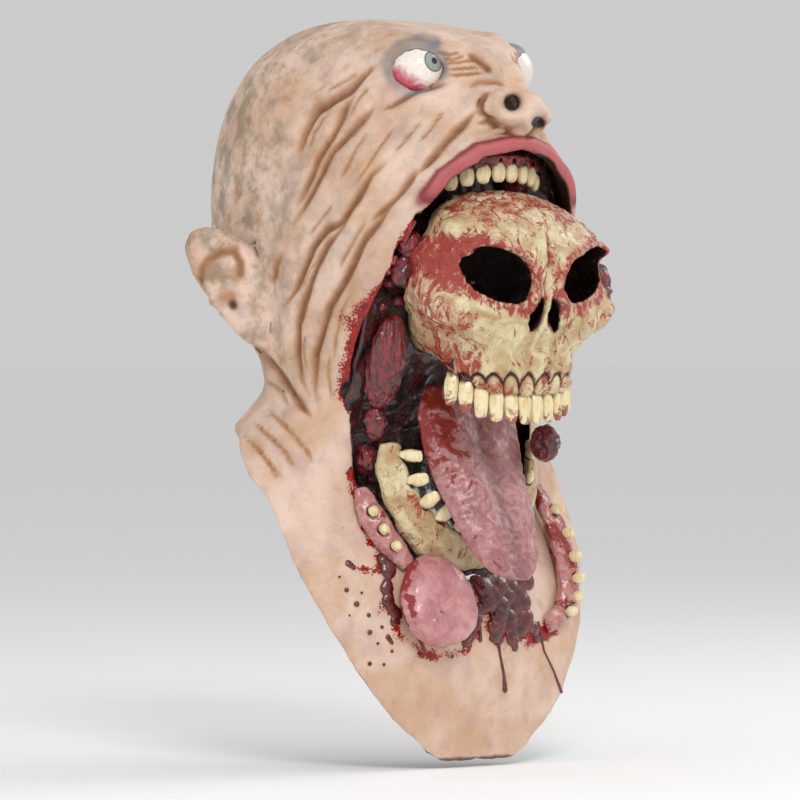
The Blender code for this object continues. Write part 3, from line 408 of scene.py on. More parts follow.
@dataclass(frozen=True)
class SkinFinish:
    """Painted latex skin: mottled flesh tones, creases washed brown partly as painted shade, blood, lips with painted
    shade at their edge, lids tinted blue-grey partly as painted shade, and a dark painted-shade inside.
    """

    light: str = "E2C6B4"
    middle: str = "CFA98B"
    ochre: str = "AA7648"
    olive: str = "8C8068"
    lilac: str = "B0929A"
    # brown for the creases: wash, partly painted shade
    crease: str = "6E3E22"
    blood: str = "B01410"
    lip: str = "B85E60"
    # darker red for the lip's outer edge: painted shade
    lip_edge_shade: str = "842C34"
    # blue-grey round the eyes: lid paint, partly painted shade of the lid folds
    lid: str = "6E7482"
    # dark brown painted shade for the hollow's inner wall, the nostril holes and the ear canal
    inside_shade: str = "2A1A12"

    def build(self) -> bpy.types.Material:
        """Build the material."""
        g = Graph("skin_latex")
        wide = g.noise(26.0, 5.0, 0.60, 0.2)
        small = g.noise(95.0, 5.0, 0.62, 0.2)
        fine = g.noise(420.0, 4.0, 0.60)
        age = g.painted(Paint.AGE)
        base = g.mix(g.step(wide, 0.36, 0.66), srgb(self.light), srgb(self.middle))
        base = g.mix(g.math("MULTIPLY", g.step(small, 0.50, 0.75), 0.34), base, srgb(self.ochre))
        base = g.mix(g.math("MULTIPLY", g.step(g.noise(48.0, 4.0, 0.6, 0.2), 0.48, 0.68), 0.30), base, srgb(self.lilac))
        olive = g.math("MULTIPLY", g.step(g.noise(60.0, 5.0, 0.65, 0.2), 0.42, 0.66), g.math("MULTIPLY", age, 0.85))
        base = g.mix(olive, base, srgb(self.olive))
        brown = g.math("MULTIPLY", g.step(g.noise(75.0, 5.0, 0.65, 0.2), 0.50, 0.72), g.math("MULTIPLY", age, 0.75))
        base = g.mix(brown, base, srgb(self.ochre))
        specks = g.math("MULTIPLY", g.step(g.cells(150.0), 0.10, 0.05), g.step(g.noise(30.0), 0.52, 0.60))
        base = g.mix(g.math("MULTIPLY", specks, 0.5), base, srgb(self.crease))
        # crease colour: brown wash along the folds, partly painted shade; hollows add painted shade
        wash_and_shade = g.painted(Paint.CREASE)
        wash_and_shade = g.math("MULTIPLY", wash_and_shade, g.math("ADD", 0.55, g.math("MULTIPLY", small, 0.8)), True)
        base = g.mix(g.math("MULTIPLY", g.step(wash_and_shade, 0.08, 0.60), 0.85), base, srgb(self.ochre))
        base = g.mix(g.math("MULTIPLY", g.step(wash_and_shade, 0.50, 1.05), 0.75), base, srgb(self.crease))
        # blue-grey lid ring, partly painted shade of the lid folds
        base = g.mix(g.painted(Paint.LID), base, srgb(self.lid))
        lip = g.math("ADD", g.painted(Paint.LIP), g.math("MULTIPLY", g.math("SUBTRACT", small, 0.5), 0.35))
        # painted shade: darker red along the lip's outer edge makes the band look rounded
        base = g.mix(g.step(lip, 0.15, 0.50), base, srgb(self.lip_edge_shade))
        base = g.mix(g.step(lip, 0.45, 0.90), base, srgb(self.lip))
        grain = g.noise(750.0, 4.0, 0.65)
        stipple = g.math("ADD", g.painted(Paint.BLOOD), g.math("MULTIPLY", g.math("SUBTRACT", grain, 0.5), 1.1))
        stipple = g.math("ADD", stipple, g.math("MULTIPLY", g.math("SUBTRACT", small, 0.5), 0.7))
        blood = g.step(stipple, 0.44, 0.56)
        base = g.mix(blood, base, g.mix(g.step(fine, 0.38, 0.62), srgb(self.blood), srgb("6E080A")))
        # painted shade: the inner wall, nostrils and ear canal go dark brown, as latex lying in shadow
        base = g.mix(g.painted(Paint.CAVITY), base, srgb(self.inside_shade))
        g.set("Base Color", base)
        g.set("Roughness", g.mix(blood, g.mix(small, (0.46,) * 3, (0.60,) * 3), (0.20,) * 3))
        g.set("Subsurface Weight", 0.12)
        g.shader.inputs["Subsurface Radius"].default_value = (0.010, 0.004, 0.002)
        g.set("Subsurface Scale", 0.35)
        normal = g.bump(fine, 0.00020)
        normal = g.bump(g.noise(160.0, 6.0, 0.60), 0.00045, normal)
        g.set("Normal", normal)
        return g.material


@dataclass(frozen=True)
class BoneFinish:
    """Old bone with a blood wash in its hollows; its hollows, sockets and holes are darkened brown, partly stain and
    partly painted shade, and the deepest near-black as painted shade.
    """

    name: str = "bone_latex"
    pale: str = "E9D9AE"
    dull: str = "BFA36A"
    # brown for the hollows: partly stain, partly painted shade
    stain_and_shade: str = "7A4A26"
    blood: str = "A01812"
    # near-black painted shade for sockets, the nasal hole, root gaps, cracks and the inside
    gore: str = "2A0405"
    amount: float = 0.40

    def build(self) -> bpy.types.Material:
        """Build the material."""
        g = Graph(self.name)
        wide = g.noise(45.0, 5.0, 0.65, 1.0)
        small = g.noise(170.0, 6.0, 0.70, 1.5)
        fine = g.noise(600.0, 4.0, 0.65)
        base = g.mix(g.step(wide, 0.38, 0.68), srgb(self.pale), srgb(self.dull))
        cavity = g.painted(Paint.CAVITY)
        # hollows go brown: partly stain, partly painted shade
        stain_and_shade_mask = g.math("ADD", cavity, g.math("MULTIPLY", g.math("SUBTRACT", small, 0.5), 0.9))
        base = g.mix(g.math("MULTIPLY", g.step(stain_and_shade_mask, 0.25, 0.70), 0.8), base, srgb(self.stain_and_shade))
        rosy = g.math("ADD", g.painted(Paint.BLOOD), g.math("MULTIPLY", g.math("SUBTRACT", wide, 0.5), 1.4))
        base = g.mix(g.math("MULTIPLY", g.step(rosy, 0.30, 0.85), 0.45), base, srgb("D0807A"))
        runs = g.noise(105.0, 7.0, 0.78, 1.4, (1.0, 1.0, 0.55))
        wet = g.math("ADD", g.painted(Paint.BLOOD), g.math("MULTIPLY", g.math("SUBTRACT", runs, 0.5), 3.2))
        wet = g.math("ADD", wet, g.math("MULTIPLY", g.math("SUBTRACT", fine, 0.5), 0.45))
        red = g.step(wet, 0.62 - self.amount * 0.30, 0.82 - self.amount * 0.25)
        base = g.mix(g.math("MULTIPLY", red, 0.92), base, g.mix(g.step(small, 0.40, 0.66), srgb(self.blood), srgb("A8201A")))
        # painted shade: the deepest hollows, sockets and holes go near-black
        base = g.mix(g.step(cavity, 0.62, 0.95), base, srgb(self.gore))
        g.set("Base Color", base)
        g.set("Roughness", g.mix(red, (0.42,) * 3, (0.16,) * 3))
        g.set("Coat Weight", 0.25)
        g.set("Coat Roughness", 0.15)
        normal = g.bump(small, 0.0016)
        normal = g.bump(fine, 0.0004, normal)
        g.set("Normal", normal)
        return g.material


@dataclass(frozen=True)
class WetFinish:
    """Glossy wet flesh with mottling and fibres."""

    name: str
    light: str
    dark: str
    spot: str = "5A0608"
    spots: float = 0.5
    scale: float = 120.0
    stretch: tuple[float, float, float] = (1.0, 1.0, 1.0)
    depth: float = 0.0016
    rough: float = 0.18
    coat: float = 0.8

    def build(self) -> bpy.types.Material:
        """Build the material."""
        g = Graph(self.name)
        fibre = g.noise(self.scale, 6.0, 0.68, 1.2, self.stretch)
        patch = g.noise(self.scale * 0.45, 5.0, 0.62, 1.5)
        fine = g.noise(self.scale * 4.0, 4.0, 0.6)
        base = g.mix(g.step(fibre, 0.36, 0.66), srgb(self.dark), srgb(self.light))
        red = g.math("ADD", g.painted(Paint.BLOOD), g.math("MULTIPLY", g.math("SUBTRACT", patch, 0.5), 2.0))
        red = g.math("ADD", red, g.math("MULTIPLY", g.math("SUBTRACT", fine, 0.5), 0.5))
        base = g.mix(g.step(red, 1.0 - self.spots, 1.12 - self.spots), base, srgb(self.spot))
        # painted shade: hollows and grooves go near-black
        base = g.mix(g.painted(Paint.CAVITY), base, srgb("120203"))
        g.set("Base Color", base)
        g.set("Roughness", g.mix(g.step(fine, 0.3, 0.7), (self.rough,) * 3, (self.rough + 0.18,) * 3))
        g.set("Coat Weight", self.coat)
        g.set("Coat Roughness", 0.06)
        g.set("Subsurface Weight", 0.06)
        g.set("Subsurface Scale", 0.01)
        normal = g.bump(fibre, self.depth)
        normal = g.bump(fine, self.depth * 0.35, normal)
        g.set("Normal", normal)
        return g.material


@dataclass(frozen=True)
class ToothFinish:
    """Cream enamel that darkens to a bloody root."""

    name: str = "tooth_enamel"
    pale: str = "F0E2B8"
    dull: str = "DDBD7C"
    root: str = "2E0F08"
    blood: str = "8A1010"
    amount: float = 0.3

    def build(self) -> bpy.types.Material:
        """Build the material."""
        g = Graph(self.name)
        small = g.noise(190.0, 5.0, 0.60, 0.4, (2.0, 2.0, 0.5))
        fine = g.noise(800.0, 4.0, 0.6)
        base = g.mix(g.step(small, 0.42, 0.70), srgb(self.pale), srgb(self.dull))
        cavity = g.math("ADD", g.painted(Paint.CAVITY), g.math("MULTIPLY", g.math("SUBTRACT", small, 0.5), 0.5))
        base = g.mix(g.step(cavity, 0.35, 0.85), base, srgb(self.root))
        runs = g.noise(130.0, 5.0, 0.7, 1.5)
        wet = g.math("ADD", g.painted(Paint.BLOOD), g.math("MULTIPLY", g.math("SUBTRACT", runs, 0.5), 2.0))
        red = g.step(wet, 0.74 - self.amount * 0.5, 1.06 - self.amount * 0.4)
        base = g.mix(g.math("MULTIPLY", red, 0.9), base, srgb(self.blood))
        g.set("Base Color", base)
        g.set("Roughness", g.mix(red, (0.30,) * 3, (0.14,) * 3))
        g.set("Coat Weight", 0.4)
        g.set("Coat Roughness", 0.10)
        normal = g.bump(small, 0.0003)
        normal = g.bump(fine, 0.0001, normal)
        g.set("Normal", normal)
        return g.material


@dataclass(frozen=True)
class EyeFinish:
    """Bloodshot eye with a pale iris set off to one side."""

    def build(self) -> bpy.types.Material:
        """Build the material."""
        g = Graph("eye_gloss")
        veins = g.noise(330.0, 6.0, 0.75, 3.0)
        white = g.mix(g.step(veins, 0.50, 0.66), srgb("F3ECE2"), srgb("E3B8B0"))
        red = g.math("ADD", g.painted(Paint.BLOOD), g.math("MULTIPLY", g.math("SUBTRACT", g.noise(150.0, 5.0, 0.7, 1.0), 0.5), 0.8))
        white = g.mix(g.step(red, 0.35, 0.85), white, srgb("C23A54"))
        iris = g.painted(Paint.LID)
        streaks = g.mix(g.noise(900.0, 3.0, 0.6), srgb("A9B4AA"), srgb("788680"))
        base = g.mix(g.step(iris, 0.40, 0.47), white, srgb("58635F"))
        base = g.mix(g.step(iris, 0.47, 0.54), base, streaks)
        base = g.mix(g.step(iris, 0.80, 0.85), base, srgb("0B0F10"))
        g.set("Base Color", base)
        g.set("Roughness", 0.08)
        g.set("Coat Weight", 1.0)
        g.set("Coat Roughness", 0.02)
        return g.material


@dataclass(frozen=True)
class FlatFinish:
    """One plain colour, for the stage."""

    name: str
    colour: str
    rough: float = 0.9

    def build(self) -> bpy.types.Material:
        """Build the material."""
        g = Graph(self.name)
        g.set("Base Color", srgb(self.colour))
        g.set("Roughness", self.rough)
        return g.material


# Folds and edges on the drawing sheet, each a path of (across, down) places
TEMPLE_FOLD = ((380, 60), (364, 75), (348, 92), (333, 101), (318, 110), (304, 135), (297, 160))
OUTER_CHEEK_FOLD = ((361, 87), (347, 110), (333, 138), (318, 161), (310, 181), (302, 197), (292, 215))
CHEEK_FOLD = ((380, 98), (371, 113), (353, 132), (333, 153), (325, 168), (313, 193), (302, 209), (293, 226), (280, 240))
UNDER_EYE_FOLD = ((452, 84), (419, 90), (394, 106), (379, 113))
LONG_CHEEK_FOLD = (
    (394, 156), (371, 176), (356, 203), (341, 224), (327, 230), (313, 249), (307, 266), (296, 290), (284, 307), (279, 318),
)
MIDDLE_FOLD = (
    (353, 207), (344, 227), (328, 246), (318, 266), (310, 287), (304, 305), (298, 325), (298, 356), (302, 379), (313, 402),
)
INNER_FOLD = (
    (402, 191), (387, 211), (364, 241), (353, 266), (342, 287), (330, 307), (323, 330), (316, 355), (315, 387), (318, 410),
)
NEAR_LIP_FOLD = ((419, 165), (405, 184), (394, 199), (380, 213), (367, 226))
EAR_FRONT_FOLD = ((286, 246), (275, 266), (272, 287))
JAW_FOLD = ((256, 348), (275, 370), (287, 387), (302, 406), (315, 419))
NECK_FOLDS = (
    ((247, 418), (275, 440), (300, 470)),
    ((262, 405), (290, 430), (318, 465)),
    ((240, 432), (262, 452), (285, 482)),
    ((263, 379), (280, 392), (291, 410)),
)
NOSE_LIP_FOLD = ((475, 107), (472, 116), (460, 129), (447, 141), (435, 155), (411, 176))
NOSE_WING_FOLD = ((493, 92), (484, 97), (479, 104), (479, 113), (487, 120), (500, 124))
NOSE_TOP_FOLD = ((466, 90), (478, 84), (494, 84), (508, 88))
UNDER_NOSE_FOLD = ((472, 126), (487, 123), (502, 131), (515, 138), (530, 143))
BROW_FOLD = ((466, 52), (475, 60), (484, 67), (492, 76))
EYE_FURROWS = (
    ((434, 53), (449, 56), (462, 53)),
    ((440, 59), (453, 61), (466, 56)),
    ((443, 65), (458, 64), (478, 60)),
    ((445, 71), (463, 70), (484, 69)),
    ((446, 77), (460, 76), (486, 74)),
)
FOREHEAD_FURROWS = (
    ((380, 36), (403, 33), (423, 30), (436, 33)),
    ((386, 44), (411, 38), (434, 41), (452, 47)),
    ((372, 52), (388, 45)),
)
FINE_FOLDS = (
    ((372, 128), (356, 150), (345, 172), (338, 186)),
    ((400, 122), (380, 146), (366, 170), (352, 190)),
    ((424, 118), (408, 138), (392, 156)),
    ((446, 108), (432, 128), (416, 146)),
    ((336, 200), (322, 220), (308, 238)),
    ((318, 258), (308, 276), (302, 292)),
    ((370, 216), (358, 236), (346, 256), (338, 272)),
    ((352, 290), (342, 312), (336, 336), (334, 362)),
    ((330, 350), (328, 376), (332, 402)),
    ((306, 330), (304, 350), (308, 372)),
    ((362, 70), (344, 82), (326, 94)),
    ((374, 84), (360, 100), (348, 122)),
    ((330, 112), (316, 134), (308, 156)),
)
EAR_HELIX_GROOVE = ((197, 284), (200, 270), (207, 260), (221, 252), (234, 251), (240, 262), (240, 274))
EAR_INNER_RIDGE = ((210, 306), (214, 296), (223, 284), (235, 275))
EAR_BOWL = ((222, 300), (230, 296))
EAR_CANAL = ((232, 304), (233, 306))
MOUTH_EDGE_MM = (
    (0, -78.5), (25, -83.5), (45, -97.4), (60, -117.7), (68, -142.4), (72, -168.5), (73, -197.3), (72, -222.5),
    (69.6, -240.5), (66, -262.6), (62, -287.3), (52, -307.6), (38, -322.4), (20, -332.3), (0, -335.5),
)
# Stains on the bib: path on the sheet, width in sheet units and strength
STAINS = (
    (((389, 572), (389, 606), (399, 632), (418, 650), (441, 656), (464, 649), (478, 632)), 8.0, 0.80),
    (((484, 588), (492, 614), (498, 640)), 13.0, 1.0),
    (((504, 590), (514, 622), (530, 640), (552, 634)), 12.0, 0.95),
    (((352, 470), (360, 500), (372, 540), (380, 566)), 9.0, 0.85),
    (((362, 566), (373, 570)), 7.0, 0.80),
    (((382, 602), (378, 612)), 6.0, 0.75),
    (((530, 470), (545, 510), (556, 560)), 8.0, 0.70),
)


@dataclass(frozen=True)
class Fold:
    """One carved groove with rolled sides; lengths in sheet units and metres."""

    path: Path
    depth: float
    width: float
    roll: float = 0.6
    # strength of the fold's crease colour, partly painted shade
    wash_and_shade: float = 1.0


@dataclass
class MaskSkin:
    """The latex skin: head, face folds, ears, neck and bib."""

    finish: SkinFinish = SkinFinish()
    face_edge: float = 0.0022
    back_edge: float = 0.0036
    inner_edge: float = 0.014
    hem_edge: float = 0.0042
    smooth_rounds: int = 26
    fold_spread: float = 1.3
    folds: tuple[Fold, ...] = (
        Fold(TEMPLE_FOLD, 0.0042, 3.6, 0.9),
        Fold(OUTER_CHEEK_FOLD, 0.0026, 2.8),
        Fold(CHEEK_FOLD, 0.0028, 2.8, 0.8),
        Fold(UNDER_EYE_FOLD, 0.0018, 2.4),
        Fold(LONG_CHEEK_FOLD, 0.0032, 3.0, 0.9),
        Fold(MIDDLE_FOLD, 0.0026, 2.8, 0.8),
        Fold(INNER_FOLD, 0.0028, 2.8, 0.8),
        Fold(NEAR_LIP_FOLD, 0.0018, 2.6, 0.6, 0.8),
        Fold(EAR_FRONT_FOLD, 0.0020, 3.0, 0.5, 0.8),
        Fold(JAW_FOLD, 0.0036, 3.6, 0.5),
        Fold(NOSE_LIP_FOLD, 0.0028, 3.0, 0.9),
        Fold(NOSE_WING_FOLD, 0.0022, 2.6, 0.5),
        Fold(NOSE_TOP_FOLD, 0.0012, 2.4, 0.5, 0.6),
        Fold(UNDER_NOSE_FOLD, 0.0016, 2.4, 0.5),
        Fold(BROW_FOLD, 0.0024, 3.0, 0.8),
        *(Fold(path, 0.0014, 2.6, 0.8, 0.45) for path in NECK_FOLDS),
        *(Fold(path, 0.0013, 1.7, 0.8, 0.7) for path in EYE_FURROWS),
        *(Fold(path, 0.0011, 2.2, 0.8, 0.25) for path in FOREHEAD_FURROWS),
        *(Fold(path, 0.0012, 1.9, 0.8, 0.45) for path in FINE_FOLDS),
    )

    def build(self) -> bpy.types.Object:
        """Sculpt and paint the skin.

        Returns:
            The finished skin.
        """
        clay = Clay("mask_skin", "latex_skin")
        clay.refine(self.limit, 5)
        outer = self.outer_share(clay)
        hem = ramp(-clay.co[:, 2], 0.235, 0.255)
        clay.relax(np.maximum(outer, hem) * 0.5, self.smooth_rounds)
        nose = bell(np.linalg.norm(clay.co - np.array(NOSE_PLACE), axis=1), 0.024) * outer
        clay.relax(np.clip(nose * 1.4, 0.0, 0.55), 14)
        places = on_sheet(clay.co)
        seen = self.seen_share(clay)
        ear = ramp(np.abs(clay.co[:, 0]), 0.088, 0.094) * (clay.co[:, 2] > -0.215)
        crease = np.zeros(len(clay.co))
        relief = np.zeros(len(clay.co))
        wobble = 1.0 + 0.35 * cloud(clay.co, 0.012, 3.0)
        for fold in self.folds:
            away, along = along_path(places, fold.path)
            away = away * wobble / self.fold_spread
            fade = np.clip(np.minimum(along, 1 - along) / 0.22, 0.12, 1.0)
            groove = bell(away, fold.width * (0.55 + 0.45 * fade))
            rolled = bell(away - 2.6 * fold.width, 1.7 * fold.width)
            relief += fold.depth * fade * (fold.roll * 0.40 * rolled - groove)
            # crease colour along the fold: wash, partly painted shade
            line = 0.80 * bell(away, fold.width * 0.75) + 0.24 * bell(away, fold.width * 3.2)
            crease = np.maximum(crease, fold.wash_and_shade * fade * line)
        relief *= seen * (1 - ear) * outer
        crease *= seen * (1 - ear) * outer
        nostril = np.zeros(len(clay.co))
        straight = on_sheet(clay.co, False)
        nose_front = ramp(-(clay.no @ SHEET_AWAY), -0.2, 0.1) * (clay.co[:, 1] < -0.122) * outer
        for across, down, wide in NOSTRILS:
            away = np.linalg.norm(straight - (across, down), axis=1)
            nostril = np.maximum(nostril, (1 - ramp(away, wide * 0.45, wide)) * nose_front)
            relief += 0.0012 * bell(away - wide * 1.3, wide * 0.35) * nose_front
        ear_relief, ear_shade = self.ear_relief(places)
        relief += ear_relief * ear * seen
        # painted shade in the ear's groove, bowl and canal, darker than their shallow relief would show
        crease = np.maximum(crease, ear_shade * ear * seen)
        lip_away = path_distance(
            np.stack([np.abs(clay.co[:, 0]), clay.co[:, 2]], axis=1) * 1000, MOUTH_EDGE_MM
        )
        ahead = (clay.co[:, 1] < 0.0) * outer
        upper = ramp(clay.co[:, 2], -0.122, -0.098)
        relief += ahead * upper * (0.0026 * bell(lip_away - 5.5, 4.0) - 0.0022 * bell(lip_away - 12.5, 2.4))
        relief += 0.0030 * (1 - outer) * ramp(clay.co[:, 1], -0.065, -0.045) * (clay.co[:, 2] > -0.225)
        relief += outer * (0.0005 * cloud(clay.co, 0.018, 11.0) + 0.00018 * cloud(clay.co, 0.006, 5.0))
        clay.push(relief)
        clay.co += (0.0052 * nostril)[:, None] * SHEET_AWAY
        clay.normals()
        # painted shade: the more concave a place, the more crease colour it gets
        hollow = np.clip((clay.curvature() * 900.0), 0.0, 1.0) * outer
        clay.paint(Paint.CREASE, np.clip(crease + 0.45 * hollow, 0.0, 1.0))
        # painted shade: the inner wall, the nostril holes and the ear canal are marked to be painted dark
        canal = bell(path_distance(places, EAR_CANAL), 4.0) * ear * seen
        clay.paint(Paint.CAVITY, np.clip(1.0 - 3.0 * outer, 0.0, 1.0) + ramp(nostril, 0.35, 0.8) + canal)
        lip = ahead * upper * (1 - ramp(lip_away, 3.0, 12.5))
        clay.paint(Paint.LIP, lip)
        lower = 1 - ramp(clay.co[:, 2], -0.118, -0.098)
        reach = 2.5 + 8.0 * ramp(cloud(clay.co, 0.030, 2.0), -0.2, 0.6) + 7.0 * bell(clay.co[:, 2] + 0.188, 0.030)
        front = ramp(-clay.co[:, 1], 0.030, 0.050) * outer
        blood = front * lower * 0.86 * (1 - ramp(lip_away, 0.0, reach))
        for path, width, share in STAINS:
            spread = bell(path_distance(straight, path), width) * (0.75 + 0.5 * cloud(clay.co, 0.007, width))
            blood = np.maximum(blood, front * seen * share * spread * (clay.co[:, 2] < -0.26))
        blood = np.where(outer < 0.1, 0.0, blood)
        clay.paint(Paint.BLOOD, blood)
        eye = np.array([-EYE_PLACE[0], EYE_PLACE[1], EYE_PLACE[2]])
        flat = clay.co.copy()
        flat[:, 0] = -np.abs(flat[:, 0])
        # lid ring: blue-grey paint, partly painted shade of the lid folds
        lid = 1 - ramp(np.linalg.norm(flat - eye, axis=1) + 0.0016 * cloud(clay.co, 0.008, 6.0), 0.0185, 0.0245)
        clay.paint(Paint.LID, lid * (0.62 + 0.35 * cloud(clay.co, 0.010, 8.0)) * ahead)
        age = np.clip(0.25 + ramp(clay.co[:, 1], -0.090, 0.060), 0.0, 1.0) * ramp(clay.co[:, 2], -0.290, -0.170)
        clay.paint(Paint.AGE, age)
        return clay.done(self.finish.build(), "skin_latex", "mask_skin")

    def limit(self, place: Vector, normal: Vector) -> float:
        """Longest edge at a place of the skin."""
        ear = abs(place.x) > 0.089 and -0.215 < place.z < -0.10
        axis_y = -0.03 if place.z < -0.20 else 0.0
        outward = normal.x * place.x + normal.y * (place.y - axis_y) + normal.z * (place.z + 0.09 if place.z > -0.09 else 0.0)
        if place.z < -0.240:
            return self.hem_edge
        if outward < 0 and not ear and place.y > -0.130:
            return self.inner_edge
        if ear or (place.y < 0.0 and place.z > -0.270):
            return self.face_edge
        return self.back_edge

    def outer_share(self, clay: Clay) -> Array:
        """Tell the outer face's vertices (1) from the hollow's (0)."""
        co, no = clay.co, clay.no
        axis_y = np.where(co[:, 2] < -0.20, -0.03, 0.0)
        rise = np.where(co[:, 2] > -0.09, co[:, 2] + 0.09, 0.0)
        radial = np.stack([co[:, 0], co[:, 1] - axis_y, rise], axis=1)
        facing = np.sum(radial * no, axis=1) / np.maximum(np.linalg.norm(radial, axis=1), 1e-6)
        ear = (np.abs(co[:, 0]) > 0.089) & (co[:, 2] > -0.215) & (co[:, 2] < -0.10)
        nose = (np.linalg.norm(co - np.array(NOSE_PLACE), axis=1) < 0.030) & (co[:, 1] < -0.127)
        return np.where(ear | nose | (co[:, 1] < -0.148), 1.0, ramp(facing, -0.10, 0.25))

    def seen_share(self, clay: Clay) -> Array:
        """How far each vertex faces the drawing sheet."""
        normal = clay.no.copy()
        normal[:, 0] *= np.where(clay.co[:, 0] > 0, -1.0, 1.0)
        return ramp(-(normal @ SHEET_AWAY), -0.12, 0.22)

    def ear_relief(self, places: Array) -> tuple[Array, Array]:
        """Relief and painted shade of the ear's rim, ridge, bowl and canal."""
        groove = bell(path_distance(places, EAR_HELIX_GROOVE), 4.5)
        ridge = bell(path_distance(places, EAR_INNER_RIDGE), 4.5)
        bowl = bell(path_distance(places, EAR_BOWL), 10.0)
        canal = bell(path_distance(places, EAR_CANAL), 3.5)
        relief = 0.0022 * ridge - 0.0026 * groove - 0.0026 * bowl - 0.0004 * canal
        return relief, np.clip(0.8 * groove + 0.5 * bowl + 1.2 * canal, 0.0, 1.0)


@dataclass
class Dressed:
    """A frame piece that is refined, smoothed and roughened, with painted shade worked out in its hollows."""

    node: str
    name: str
    slot: str
    edge: float = 0.0016
    rounds: int = 6
    pits: tuple[tuple[float, float], ...] = ((0.0004, 0.004),)
    stretch: tuple[float, float, float] = (1.0, 1.0, 1.0)
    # how strongly hollows are darkened: painted shade
    hollow_shade: float = 600.0
    blood: float = 0.5
    swell: float = 0.0
    fine_level: float = -1.0
    fine_edge: float = 0.0009
    shape: Optional[Callable[[Clay], tuple[Array, Array]]] = None

    def build(self, material: bpy.types.Material) -> bpy.types.Object:
        """Build the piece.

        Args:
            material: its finish.

        Returns:
            The finished piece.
        """
        clay = Clay(self.node, self.name)
        clay.refine(lambda place, normal: self.fine_edge if place.z < self.fine_level else self.edge, 4)
        clay.relax(np.full(len(clay.co), 0.45), self.rounds)
        relief = np.full(len(clay.co), self.swell)
        for depth, size in self.pits:
            relief += depth * cloud(clay.co, size, depth * 9000.0, self.stretch)
        blood = np.full(len(clay.co), self.blood)
        cavity = np.zeros(len(clay.co))
        if self.shape:
            carved, cavity, blood = self.shape(clay)
            relief += carved
        clay.push(relief)
        # painted shade: the more hollow a place, the darker it is painted
        hollow = np.clip(clay.curvature() * self.hollow_shade, 0.0, 0.6)
        clay.paint(Paint.CAVITY, np.clip(cavity + hollow, 0.0, 1.0))
        clay.paint(Paint.BLOOD, blood)
        return clay.done(material, self.slot, self.node)


